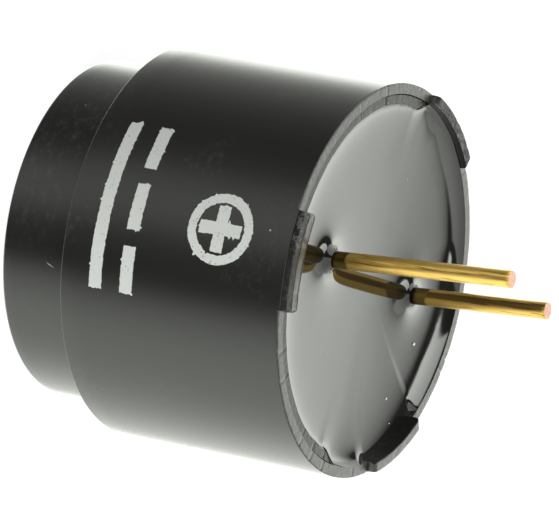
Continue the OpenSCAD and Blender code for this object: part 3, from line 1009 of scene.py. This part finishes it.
def pour_normal(x, y):
    """Normal of the potting's surface, from its height on both sides of a place."""
    step = SLOPE_STEP
    across = (pour_height(x + step, y) - pour_height(x - step, y)) / (2 * step)
    along = (pour_height(x, y + step) - pour_height(x, y - step)) / (2 * step)
    return Vector((-across, -along, 1)).normalized()


def ring_place(radius, turn):
    return Vector((radius * math.cos(turn), radius * math.sin(turn)))


def ring_turns(count, ring):
    """Angles round a ring, shifted by half a step on every second ring."""
    return [FULL_TURN * (k + 0.5 * (ring % 2)) / count for k in range(count)]


def pour_points():
    """Places of the surface's corners: rings round the axis, and close rings round each pin."""
    pin_r = sizes().pin_r
    reach_out = pin_r + PIN_RING_REACH
    rings = [(radius, None) for radius in share_steps(0, MOUTH_R - POUR_EDGE_W, POUR_RINGS)[1:]]
    rings += [(None, POUR_EDGE_W * (1 - i / POUR_EDGE_RINGS) ** 2) for i in range(1, POUR_EDGE_RINGS)]
    points = [Vector((0, 0))]
    for i, (radius, from_edge) in enumerate(rings):
        full = POUR_COLUMNS if radius is None else int(POUR_COLUMNS * radius / (POUR_FULL_FROM * MOUTH_R))
        count = max(POUR_LEAST_COLUMNS, min(POUR_COLUMNS, full))
        for turn in ring_turns(count, i):
            place = ring_place(contact_line(turn)[1] - from_edge if radius is None else radius, turn)
            if all((place - stem).length > reach_out * PIN_RING_CLEAR for stem in pin_stem_of.values()):
                points.append(place)
    first_r = pin_r * PIN_RING_START
    for stem in pin_stem_of.values():
        for i in range(PIN_RINGS + 1):
            radius = first_r + (reach_out - first_r) * (i / PIN_RINGS) ** PIN_RING_POWER
            points += [stem + ring_place(radius, turn) for turn in ring_turns(PIN_RING_COLUMNS, i)]
    return points


def build_potting():
    """The pour: a fine surface with its own normals, closed at its side and below."""
    rim = [ring_place(contact_line(turn)[1], turn) for turn in ring_turns(POUR_COLUMNS, 0)]
    around = list(range(len(rim)))
    flat, _, faces, given, _, _ = geometry.delaunay_2d_cdt(
        rim + pour_points(), [], [around], 1, POUR_WELD)
    vertices = [(p.x, p.y, pour_height(p.x, p.y)) for p in flat]
    normals = [pour_normal(p.x, p.y) for p in flat]
    faces = [list(f) for f in faces]
    edge = sorted((i for i, sources in enumerate(given) if min(sources) < len(rim)),
                  key=lambda i: math.atan2(flat[i].y, flat[i].x))
    below = len(vertices)
    for i in edge:
        under = flat[i].normalized() * MOUTH_R
        vertices.append((under.x, under.y, BOARD_Z))
    normals += [Vector()] * len(edge)
    for k in range(len(edge)):
        after = (k + 1) % len(edge)
        faces.append([edge[k], below + k, below + after, edge[after]])
    faces.append([below + k for k in reversed(range(len(edge)))])
    piece = new_piece("potting_pour", vertices, faces, [poured_black()], smooth_angle=60)
    piece.data.normals_split_custom_set_from_vertices(normals)
    return piece


# Pins

PinRow = namedtuple("PinRow", "at radius finish")
DarkReflection = namedtuple("DarkReflection", "low high start depth")
PIN_COLUMNS = 56
PIN_ROWS = 46
END_EDGE = 0.035 * MM
GOLD, COPPER = range(2)
# A pin's ends: radii as shares of the pin's radius, then drops and an inset as shares of END_EDGE
LOW_END_SHARE = 0.6
TIP_SHARES = (0.86, 0.6, 0.3)
TIP_DROP = 0.15
TIP_RIM_DROP = 0.3
TIP_RIM_INSET = 0.4
TIP_SLICE = 0.06 * MM
TIP_RIPPLE = (2.4, 0.02 * MM)
WIRE_RIPPLE = (1.3, 0.003 * MM)
# Each pin's painted dark reflection, a brown streak: from and to across the pin, where it starts up the
# pin, in millimetres, and its depth
PINS = (
    ("positive_wire", "positive_pin", DarkReflection(-0.02, 0.05, 16.0, 0.7)),
    ("negative_wire", "negative_pin", DarkReflection(-0.19, 0.08, 12.0, 0.9)),
)


def pin_line(node):
    """A pin's lower end, its bend, its tip and its upper direction."""
    low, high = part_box(node)
    stem = pin_stem_of[node]
    tip = middle_of(node, high.z - TIP_SLICE, high.z)
    lean = sizes().pin_lean
    bend = Vector((stem.x, stem.y, tip.z - (stem.y - tip.y) / math.tan(lean)))
    upward = Vector((0, -math.sin(lean), math.cos(lean)))
    return Vector((stem.x, stem.y, low.z)), bend, tip, upward


def pin_rows(foot, bend, tip):
    """Rows along a pin, each with the finish of the strip after it, and the way along it to its bend."""
    s = sizes()
    bend_at = bend.z - foot.z
    length = bend_at + (tip - bend).length
    board_at = BOARD_Z - foot.z
    collar_at = board_at + s.collar_t
    lower = (
        (0, LOW_END_SHARE * s.pin_r), (0, s.pin_r - END_EDGE), (END_EDGE, s.pin_r),
        (board_at, s.pin_r), (board_at, s.collar_r), (collar_at, s.collar_r),
    )
    rows = [PinRow(at, radius, GOLD) for at, radius in lower]
    rows += [PinRow(at, s.pin_r, GOLD) for at in share_steps(collar_at, length - END_EDGE, PIN_ROWS)]
    rows.append(PinRow(length - TIP_RIM_DROP * END_EDGE, s.pin_r - TIP_RIM_INSET * END_EDGE, COPPER))
    rows += [PinRow(length - TIP_DROP * END_EDGE, share * s.pin_r, COPPER) for share in TIP_SHARES]
    return rows, bend_at


def build_pin(name, node, finishes):
    """A drawn pin with its collar, its bend and its sheared ends."""
    foot, bend, tip, upward = pin_line(node)
    rows, bend_at = pin_rows(foot, bend, tip)
    aside = Vector((1, 0, 0))
    vertices = []
    for row in rows:
        axis = Vector((0, 0, 1)) if row.at <= bend_at else upward
        middle = foot + axis * row.at if row.at <= bend_at else bend + axis * (row.at - bend_at)
        beside = axis.cross(aside)
        for turn in ring_turns(PIN_COLUMNS, 0):
            out = aside * math.cos(turn) + beside * math.sin(turn)
            place = middle + out * row.radius
            if row.finish == COPPER:
                vertices.append(place - axis * abs(ripple(place, *TIP_RIPPLE)))
            else:
                vertices.append(place + out * ripple(place, *WIRE_RIPPLE))
    faces = tube_faces(len(rows), PIN_COLUMNS)
    finish_of = [row.finish for row in rows[:-1] for _ in range(PIN_COLUMNS)]
    last = (len(rows) - 1) * PIN_COLUMNS
    faces.append(tuple(reversed(range(PIN_COLUMNS))))
    faces.append(tuple(range(last, last + PIN_COLUMNS)))
    finish_of += [GOLD, COPPER]
    return new_piece(name, vertices, faces, finishes, finish_of)


# Printed marks

RING_R = 1.43 * MM
RING_STROKE = 0.38 * MM
ARM_L = 0.93 * MM
ARM_HALF = 0.26 * MM
SIGN_PLACE_Z = 10.2 * MM
SUPPLY_BAR = (7.0 * MM, 0.56 * MM)
SUPPLY_DASH = (1.9 * MM, 0.56 * MM)
SUPPLY_DASHES = 3
SUPPLY_BAR_Z = 5.0 * MM
SUPPLY_DASH_Z = 6.4 * MM
SUPPLY_TURN = math.radians(-2)
INK_STEP = 0.036 * MM
INK_FILL = 0.22 * MM
INK_WELD = 1e-8
# How far the ink's base and top lie inside the body's radius, in ink thicknesses
INK_SINK = 1.5
INK_INSET = 0.1
# Unevenness of the ink's edge: a shift of the noise in millimetres, a scale and a depth
INK_RIPPLES = ((0, 2.4, 0.02 * MM), (5, 8.0, 0.026 * MM), (7, 15.0, 0.03 * MM))
# Runs of ink: the shift and scale of their noise, the level it has to pass, and their length
RUN_SHIFT = 9
RUN_SCALE = 6.2
RUN_LEVEL = 0.4
RUN_L = 0.4 * MM


def circle_outline(radius):
    return [ring_place(radius, turn) for turn in ring_turns(int(FULL_TURN * radius / INK_STEP), 0)]


def walked(corners):
    """An outline's corners with steps of ink between them."""
    points = []
    for first, second in zip(corners, corners[1:] + corners[:1]):
        count = max(1, int((second - first).length / INK_STEP))
        points += [first.lerp(second, i / count) for i in range(count)]
    return points


def box_outline(middle, length, width):
    return walked([middle + Vector((x * length / 2, y * width / 2)) for x, y in SQUARE])


def plus_outline(length, half):
    """Corners of a plus sign, arm after arm."""
    arm = [Vector((length, -half)), Vector((length, half)), Vector((half, half))]
    return walked([Matrix.Rotation(math.radians(90 * i), 2) @ p for i in range(4) for p in arm])


def ragged(points, salt):
    """An outline with the uneven edge of a print, and a few runs of ink."""
    made = []
    for before, here, after in zip(points[-1:] + points[:-1], points, points[1:] + points[:1]):
        along = (after - before).normalized()
        out = Vector((along.y, -along.x))
        uneven = sum(ripple((here.x, here.y, (salt + shift) * MM), scale, depth)
                     for shift, scale, depth in INK_RIPPLES)
        level = ripple((here.x, here.y, (salt + RUN_SHIFT) * MM), RUN_SCALE, 1)
        run = max(0.0, level - RUN_LEVEL) * RUN_L
        made.append(here + out * (uneven + run))
    return made


def inside(point, outline):
    """Whether a point lies within an outline."""
    found = False
    for first, second in zip(outline, outline[1:] + outline[:1]):
        if (first.y > point.y) != (second.y > point.y):
            if point.x < first.x + (second.x - first.x) * (point.y - first.y) / (second.y - first.y):
                found = not found
    return found


def filled(outlines):
    """Flat corners and triangles of the area inside an outline and outside its hole outlines."""
    def within(p):
        return inside(p, outlines[0]) and not any(inside(p, hole) for hole in outlines[1:])

    points, edges = [], []
    for outline in outlines:
        start = len(points)
        points += outline
        edges += [(start + i, start + (i + 1) % len(outline)) for i in range(len(outline))]
    low = Vector((min(p.x for p in points), min(p.y for p in points)))
    high = Vector((max(p.x for p in points), max(p.y for p in points)))
    xs, ys = [share_steps(a, b, max(1, round((b - a) / INK_FILL))) for a, b in zip(low, high)]
    lattice = [Vector((x, y)) for x in xs for y in ys]
    clear = [p for p in lattice if within(p) and all((p - q).length > INK_STEP for q in points)]
    flat, _, triangles, _, _, _ = geometry.delaunay_2d_cdt(points + clear, edges, [], 0, INK_WELD)
    kept = [tuple(t) for t in triangles if within(sum((flat[i] for i in t), Vector((0, 0))) / 3)]
    return flat, kept


def build_print(name, shapes, place_turn, finish, base_r, top_r):
    """A thin print laid on a round wall. Each shape is an outline and its holes, along and up the wall."""
    vertices, faces = [], []
    for outlines in shapes:
        flat, triangles = filled(outlines)
        start, count = len(vertices), len(flat)
        for radius in (top_r, base_r):
            vertices += [on_round(radius, place_turn + p.x / radius, p.y) for p in flat]
        used = {}
        for triangle in triangles:
            faces.append([start + i for i in triangle])
            faces.append([start + count + i for i in reversed(triangle)])
            for a, b in zip(triangle, triangle[1:] + triangle[:1]):
                used[(a, b)] = True
        for a, b in used:
            if (b, a) not in used:
                faces.append([start + b, start + a, start + count + a, start + count + b])
    piece = new_piece(name, vertices, faces, [finish], smooth_angle=30)
    drop_loose_corners(piece)
    return piece


def drop_loose_corners(piece):
    """Deletes corners that no face uses."""
    shape = bmesh.new()
    shape.from_mesh(piece.data)
    bmesh.ops.delete(shape, geom=[v for v in shape.verts if not v.link_faces], context="VERTS")
    shape.to_mesh(piece.data)
    shape.free()


def polarity_shapes():
    """A plus in a ring."""
    up = Vector((0, SIGN_PLACE_Z))
    ring = [ragged(circle_outline(RING_R), salt=1), ragged(circle_outline(RING_R - RING_STROKE), salt=2)]
    plus = [ragged(plus_outline(ARM_L, ARM_HALF), salt=3)]
    return [[[p + up for p in outline] for outline in shape] for shape in (ring, plus)]


def supply_shapes():
    """A direct-current sign: one bar over a row of dashes."""
    length, width = SUPPLY_BAR
    shapes = [[ragged(box_outline(Vector((0, SUPPLY_BAR_Z)), length, width), salt=4)]]
    spread = length - SUPPLY_DASH[0]
    for i in range(SUPPLY_DASHES):
        at = Vector((spread * (i / (SUPPLY_DASHES - 1) - 0.5), SUPPLY_DASH_Z))
        shapes.append([ragged(box_outline(at, *SUPPLY_DASH), 5 + i)])
    return shapes


# Dust and slivers

# Grains on the potting: x, y and size in millimetres
POTTING_SPECKS = (
    (-5.16, 1.68, 0.07), (-3.94, 4.2, 0.05), (-4.6, 5.1, 0.025), (1.9, 3.4, 0.02), (-1.2, -4.4, 0.02),
)
SPECK_STRETCH = (1.3, 1, 0.6)
SPECK_LUMPS = 0.35
SPECK_LUMP_SCALE = 1.7
SPECK_LIFT = 0.3
SLIVER = (0.46 * MM, 0.035 * MM)
SLIVER_TURN = math.radians(21.2)
SLIVER_Z = 2.25 * MM
SLIVER_TILT = math.radians(64)


def build_specks():
    """Grains of dust that lie on the potting, each a flattened uneven lump."""
    shape = bmesh.new()
    for x, y, size in POTTING_SPECKS:
        middle = Vector((x * MM, y * MM, pour_height(x * MM, y * MM) + SPECK_LIFT * size * MM))
        for vertex in bmesh.ops.create_icosphere(shape, subdivisions=3, radius=1)["verts"]:
            lump = 1 + SPECK_LUMPS * noise.noise(vertex.co * SPECK_LUMP_SCALE + Vector((x, y, 0)))
            out = Vector([c * stretch for c, stretch in zip(vertex.co, SPECK_STRETCH)])
            vertex.co = out * lump * size * MM + middle
    mesh = bpy.data.meshes.new("dust_specks")
    shape.to_mesh(mesh)
    shape.free()
    smooth(mesh)
    mesh.materials.append(pale_dust())
    return new_object("dust_specks", mesh)


def sliver_shapes():
    """A long thin diamond, tilted."""
    length, width = SLIVER
    ends = ((-length / 2, 0), (0, -width / 2), (length / 2, 0), (0, width / 2))
    turn = Matrix.Rotation(SLIVER_TILT, 2)
    outline = [turn @ p for p in walked([Vector(end) for end in ends])]
    return [[[p + Vector((0, SLIVER_Z)) for p in outline]]]


# Inner parts

# Cast or moulded ones by the record's slot: light and dark colour, grain scale, roughness and grain depth
CAST_SLOTS = {
    "ring_plastic": ((0.045, 0.045, 0.05), (0.03, 0.03, 0.034), 4.0, 0.4, 0.004 * MM),
    "ferrite": ((0.07, 0.064, 0.064), (0.045, 0.042, 0.042), 7.0, 0.5, 0.012 * MM),
    "bobbin_plastic": ((0.72, 0.68, 0.54), (0.62, 0.57, 0.43), 3.0, 0.42, 0.004 * MM),
    "board_laminate": ((0.34, 0.25, 0.08), (0.24, 0.17, 0.055), 5.0, 0.45, 0.008 * MM),
    "component_black": ((0.035, 0.035, 0.035), (0.02, 0.02, 0.02), 8.0, 0.45, 0.006 * MM),
}
# Metal ones: light and dark colour, scale of the lines across, and roughness
METAL_SLOTS = {
    "spring_steel": ((0.62, 0.62, 0.6), (0.5, 0.5, 0.49), 6.0, 0.2),
    "soft_iron": ((0.48, 0.48, 0.49), (0.36, 0.36, 0.36), 4.0, 0.32),
    "tinned_metal": ((0.68, 0.68, 0.66), (0.52, 0.52, 0.5), 5.0, 0.25),
}


def inner_finishes():
    """Finish of every hidden CAD node, by the record's slot."""
    finishes = {slot: cast_finish(slot, *row) for slot, row in CAST_SLOTS.items()}
    finishes.update((slot, metal_finish(slot, *row)) for slot, row in METAL_SLOTS.items())
    finishes["copper_wire"] = wound_copper()
    return finishes


# Studio

FLOOR_HALF = 0.6
FLOOR_GREY = (0.3, 0.3, 0.3)
FLOOR_GLOW = 0.88
WHITE = (1, 1, 1)
LAMP_SIZE = 0.3
KEY_PLACE = (0.2, 0.28, 0.26)
FILL_PLACE = (-0.05, -0.1, 0.4)
SENSOR_W = 36
CLIP_START = 0.01
TENT_R = 0.3
TENT_COLUMNS = 64
TENT_ROWS = 48
TENT_COLOUR = (0.97, 1.0, 0.93)
# Levels of the tent: a backdrop by its elevation, and the table by its azimuth, both in degrees
BACKDROP = (
    (0, 1.4), (7, 2.0), (17, 3.2), (22.5, 4.0), (25, 3.85), (26.5, 3.6), (27.8, 3.35), (29.7, 2.95),
    (31.7, 1.95), (33.5, 1.15), (35, 0),
)
TABLE = (
    (-180, 2.4), (-150, 3.4), (-138, 3.4), (-132, 2.2), (-126, 1.4), (-114, 0.82), (-102, 0.65),
    (-90, 0.46), (-78, 0.34), (-66, 0.26), (-54, 0.26), (-42, 0.44), (-30, 1.02), (-18, 1.3), (-6, 1.2),
    (6, 0.5), (18, 0.27), (30, 0.25), (36, 0.7), (42, 1.35), (48, 1.85), (54, 2.1), (66, 2.55), (78, 2.5),
    (102, 2.35), (126, 2.3), (138, 2.2), (150, 1.95), (162, 1.85), (180, 2.4),
)
BACKDROP_TILT = 0.25
BACKDROP_PIVOT = -0.0955
LAMP_LEVEL = 5.0
GAP_LEVEL = 0.1
GAP_SIDE_LEVEL = 1.45
LOW_SIDE_LEVEL = 2.2
# Elevations between which the gap over the backdrop begins
GAP_BEGIN = (33.5, 35)
# An edge in the tent: one coordinate, a second one that is added with a weight, both in tent radii, and
# the sums between which the tent goes over to what lies past the edge
Edge = namedtuple("Edge", "main weight added near far")
GAP_STEEP_EDGE = Edge("Y", -0.31, "Z", -0.252, -0.232)
GAP_GENTLE_EDGE = Edge("Y", -0.1, "Z", -0.13, -0.115)
LAMP_EDGES = (
    Edge("Z", 0.5, "Y", 0.553, 0.583),
    Edge("Y", 0.2, "Z", 0.054, 0.042),
    Edge("Y", -0.075, "Z", -0.1315, -0.1345),
    Edge("Y", 0, "Z", -0.5, -0.4),
    Edge("X", 0, "Z", -0.15, -0.3),
)
BACKDROP_EDGE = Edge("Y", 0, "Z", -0.55, -0.4)
LOW_SIDE_EDGE = Edge("Y", 0, "Z", -0.42, -0.56)
SKY_EDGE = Edge("Y", 0, "Z", 0.2, 0.35)


def stage_mesh(name, vertices, faces, finish, glossy_only=False):
    """A stage object. A glossy-only one shows in reflections alone."""
    mesh = bpy.data.meshes.new(name)
    mesh.from_pydata(vertices, [], faces)
    mesh.materials.append(finish)
    smooth(mesh)
    mesh.update()
    made = new_object(name, mesh)
    if glossy_only:
        for ray in ("camera", "diffuse", "transmission", "volume_scatter", "shadow"):
            setattr(made, "visible_" + ray, False)
    return made


def seen_directly(tree):
    """1 for camera, glossy and transmission rays."""
    path = tree.nodes.new("ShaderNodeLightPath")
    either = sums(tree, "MAXIMUM", path.outputs["Is Camera Ray"], path.outputs["Is Glossy Ray"])
    return sums(tree, "MAXIMUM", either, path.outputs["Is Transmission Ray"])


def floor_finish():
    """Pale floor that shows white where it is seen from above, and keeps the shadow."""
    made, tree, surface = bare_material("pale_floor")
    paint = add_node(tree, "ShaderNodeBsdfDiffuse", Color=FLOOR_GREY)
    glow = add_node(tree, "ShaderNodeEmission", Strength=times(tree, seen_directly(tree), FLOOR_GLOW))
    both = tree.nodes.new("ShaderNodeAddShader")
    tree.links.new(paint.outputs[0], both.inputs[0])
    tree.links.new(glow.outputs[0], both.inputs[1])
    clear = tree.nodes.new("ShaderNodeBsdfTransparent")
    below = tree.nodes.new("ShaderNodeNewGeometry").outputs["Backfacing"]
    shown = tree.nodes.new("ShaderNodeMixShader")
    for socket, value in zip(shown.inputs, (below, both.outputs[0], clear.outputs[0])):
        tree.links.new(value, socket)
    tree.links.new(shown.outputs[0], surface)
    return made


def graded(tree, value, stops):
    """A level that runs straight from stop to stop, each a place and the level there."""
    low, high = stops[0][0], stops[-1][0]
    peak = max(level for _, level in stops)
    share = add_node(tree, "ShaderNodeMapRange", Value=value, From_Min=low, From_Max=high)
    ramp = tree.nodes.new("ShaderNodeValToRGB")
    tree.links.new(share.outputs["Result"], ramp.inputs["Fac"])
    elements = ramp.color_ramp.elements
    for i, (place, level) in enumerate(stops):
        at = (place - low) / (high - low)
        made = elements[0] if i == 0 else elements[-1] if i == len(stops) - 1 else elements.new(at)
        made.position = at
        made.color = (level / peak, level / peak, level / peak, 1)
    return times(tree, ramp.outputs["Color"], peak)


def past(tree, place, edge):
    """0 on the near side of an edge of the tent, and 1 on its far side."""
    value = scaled(tree, place[edge.added], edge.weight, place[edge.main])
    return between(tree, value, edge.near, edge.far)


def tent_level(tree):
    """Level of the tent's glow: in front a lit backdrop, a gap over it that is dark on one side, a soft
    lamp overhead and a lit side below, behind them an even sky, and under all of it a table."""
    parts = add_node(
        tree, "ShaderNodeSeparateXYZ", Vector=tree.nodes.new("ShaderNodeTexCoord").outputs["Object"])
    place = {axis: sums(tree, "DIVIDE", parts.outputs[axis], TENT_R) for axis in "XYZ"}
    azimuth = sums(tree, "DEGREES", sums(tree, "ARCTAN2", place["Y"], place["X"]))
    tilt = times(tree, sums(tree, "SUBTRACT", place["Y"], BACKDROP_PIVOT), BACKDROP_TILT)
    elevation = sums(tree, "DEGREES", sums(tree, "ARCSINE", sums(tree, "SUBTRACT", place["Z"], tilt)))
    backdrop = times(tree, graded(tree, elevation, BACKDROP), past(tree, place, BACKDROP_EDGE))
    aside = sums(tree, "MAXIMUM", past(tree, place, GAP_STEEP_EDGE), past(tree, place, GAP_GENTLE_EDGE))
    gap = scaled(tree, aside, GAP_SIDE_LEVEL, GAP_LEVEL)
    above = times(tree, gap, between(tree, elevation, *GAP_BEGIN))
    lamp = LAMP_LEVEL
    for edge in LAMP_EDGES:
        lamp = times(tree, past(tree, place, edge), lamp)
    low_side = times(tree, past(tree, place, LOW_SIDE_EDGE), LOW_SIDE_LEVEL)
    front = sums(tree, "ADD", sums(tree, "ADD", backdrop, above), sums(tree, "ADD", lamp, low_side))
    sky = add_node(tree, "ShaderNodeMapRange", Value=past(tree, place, SKY_EDGE), To_Min=front,
                   To_Max=GAP_SIDE_LEVEL).outputs["Result"]
    level = add_node(tree, "ShaderNodeMapRange", Value=sums(tree, "GREATER_THAN", place["Z"], 0.0),
                     To_Min=graded(tree, azimuth, TABLE), To_Max=sky)
    return level.outputs["Result"]


def tent_finish():
    """A plain glow of one colour."""
    made, tree, surface = bare_material("tent_glow")
    glow = add_node(tree, "ShaderNodeEmission", Color=TENT_COLOUR, Strength=tent_level(tree))
    tree.links.new(glow.outputs[0], surface)
    return made


def build_tent():
    """A sphere round the part that shows in its reflections alone."""
    vertices = []
    for rise in share_steps(-math.pi / 2, math.pi / 2, TENT_ROWS):
        radius, height = TENT_R * math.cos(rise), TENT_R * math.sin(rise)
        vertices += [on_round(radius, turn, height) for turn in ring_turns(TENT_COLUMNS, 0)]
    faces = tube_faces(TENT_ROWS + 1, TENT_COLUMNS)
    return stage_mesh("reflection_tent", vertices, faces, tent_finish(), glossy_only=True)


def soft_lamp(name, place, power):
    """A square soft lamp that looks at the part and stays out of its reflections."""
    lamp = bpy.data.lights.new(name, "AREA")
    lamp.size = LAMP_SIZE
    lamp.energy = power
    made = new_object(name, lamp)
    made.location = place
    target = Vector((0, 0, FOOT_TOP / 2))
    made.rotation_euler = (target - Vector(place)).to_track_quat("-Z", "Y").to_euler()
    made.visible_glossy = False


def light_world():
    """White where it is seen, and an even soft light elsewhere."""
    world = bpy.data.worlds.new("studio_world")
    world.use_nodes = True
    tree = world.node_tree
    tree.nodes.clear()
    level = add_node(
        tree, "ShaderNodeMapRange", Value=seen_directly(tree), To_Min=studio().room_light, To_Max=1.0)
    sky = add_node(tree, "ShaderNodeBackground", Color=WHITE, Strength=level.outputs["Result"])
    sink = tree.nodes.new("ShaderNodeOutputWorld")
    tree.links.new(sky.outputs[0], sink.inputs["Surface"])
    bpy.context.scene.world = world


def place_camera():
    """The camera, which stands as the photograph's did."""
    right, up = Vector(studio().camera_right), Vector(studio().camera_up)
    lens = bpy.data.cameras.new("photo_camera")
    lens.lens = studio().lens
    lens.sensor_width = SENSOR_W
    lens.clip_start = CLIP_START
    made = new_object("photo_camera", lens)
    turn = Matrix((right, up, right.cross(up))).transposed()
    made.matrix_world = Matrix.Translation(Vector(studio().camera_place)) @ turn.to_4x4()
    bpy.context.scene.camera = made


# Operators

class BUZZER_OT_housing(bpy.types.Operator):
    """Build the moulded can with its torn rim and feet"""

    bl_idname = "buzzer.housing"
    bl_label = "Housing"

    def execute(self, context):
        place_piece(build_housing(), "housing_plastic", "housing")
        return {"FINISHED"}


class BUZZER_OT_potting(bpy.types.Operator):
    """Pour the potting, with its climb up the wall and the pins"""

    bl_idname = "buzzer.potting"
    bl_label = "Potting"

    def execute(self, context):
        place_piece(build_potting(), "potting", "epoxy_seal")
        return {"FINISHED"}


class BUZZER_OT_pins(bpy.types.Operator):
    """Draw and shear the two pins"""

    bl_idname = "buzzer.pins"
    bl_label = "Pins"

    def execute(self, context):
        ends = sheared_copper()
        for name, node, dark_reflection in PINS:
            gold = plated_gold(name + "_gold", node, dark_reflection)
            place_piece(build_pin(name, node, [gold, ends]), "pin_gold", node)
        return {"FINISHED"}


class BUZZER_OT_print(bpy.types.Operator):
    """Print the polarity mark and the direct-current sign on the body"""

    bl_idname = "buzzer.print"
    bl_label = "Printed marks"

    def execute(self, context):
        base, top = BODY_R - INK_SINK * sizes().ink_t, BODY_R - INK_INSET * sizes().ink_t
        finish = pale_ink()
        polarity = build_print("polarity_mark", polarity_shapes(), 0, finish, base, top)
        supply = build_print("supply_mark", supply_shapes(), SUPPLY_TURN, finish, base, top)
        for piece in (polarity, supply):
            place_piece(piece, "housing_plastic")
        return {"FINISHED"}


class BUZZER_OT_dust(bpy.types.Operator):
    """Lay dust on the potting and lift a sliver beside a scratch"""

    bl_idname = "buzzer.dust"
    bl_label = "Dust"

    def execute(self, context):
        place_piece(build_specks(), "potting")
        base, top = NECK_R - sizes().ink_t, NECK_R + sizes().ink_t
        sliver = build_print("scratch_sliver", sliver_shapes(), SLIVER_TURN, pale_dust(), base, top)
        place_piece(sliver, "housing_plastic")
        return {"FINISHED"}


class BUZZER_OT_inner(bpy.types.Operator):
    """Give every piece inside the can its finish"""

    bl_idname = "buzzer.inner"
    bl_label = "Inner parts"

    def execute(self, context):
        finishes = inner_finishes()
        for row in frame["record"]["subparts"]:
            if row["material_slot"] in finishes:
                mesh = frame["nodes"][row["node"]].data
                mesh.materials.clear()
                mesh.materials.append(finishes[row["material_slot"]])
        return {"FINISHED"}


class BUZZER_OT_stage(bpy.types.Operator):
    """Set up the floor, the reflection tent, the lamps and the camera"""

    bl_idname = "buzzer.stage"
    bl_label = "Stage"

    def execute(self, context):
        bpy.context.scene.view_settings.view_transform = "Standard"
        corners = [(x * FLOOR_HALF, y * FLOOR_HALF, 0) for x, y in SQUARE]
        floor = stage_mesh("floor", corners, [(0, 1, 2, 3)], floor_finish())
        floor.visible_glossy = False
        build_tent()
        soft_lamp("key_lamp", KEY_PLACE, studio().key_light)
        soft_lamp("fill_lamp", FILL_PLACE, studio().fill_light)
        light_world()
        place_camera()
        return {"FINISHED"}


class BUZZER_PT_panel(bpy.types.Panel):
    """Steps and settings of the buzzer's looks"""

    bl_idname = "BUZZER_PT_panel"
    bl_label = "Buzzer"
    bl_space_type = "VIEW_3D"
    bl_region_type = "UI"
    bl_category = "Buzzer"

    def draw(self, context):
        for operator in OPERATORS:
            self.layout.operator(operator.bl_idname)
        for group in (sizes(), colours(), studio()):
            for name in group.bl_rna.properties.keys():
                if name not in ("rna_type", "name"):
                    self.layout.prop(group, name)


OPERATORS = (
    BUZZER_OT_housing, BUZZER_OT_potting, BUZZER_OT_pins, BUZZER_OT_print, BUZZER_OT_dust, BUZZER_OT_inner,
    BUZZER_OT_stage,
)
CLASSES = (BuzzerSizes, BuzzerColours, StudioSettings, *OPERATORS, BUZZER_PT_panel)


def register():
    for item in CLASSES:
        bpy.utils.register_class(item)
    bpy.types.Scene.buzzer_sizes = PointerProperty(type=BuzzerSizes)
    bpy.types.Scene.buzzer_colours = PointerProperty(type=BuzzerColours)
    bpy.types.Scene.buzzer_studio = PointerProperty(type=StudioSettings)


def unregister():
    del bpy.types.Scene.buzzer_sizes
    del bpy.types.Scene.buzzer_colours
    del bpy.types.Scene.buzzer_studio
    for item in reversed(CLASSES):
        bpy.utils.unregister_class(item)


def main():
    register()
    bpy.ops.buzzer.housing()
    bpy.ops.buzzer.potting()
    bpy.ops.buzzer.pins()
    bpy.ops.buzzer.print()
    bpy.ops.buzzer.dust()
    bpy.ops.buzzer.inner()
    bpy.ops.buzzer.stage()


if __name__ == "__main__":
    main()
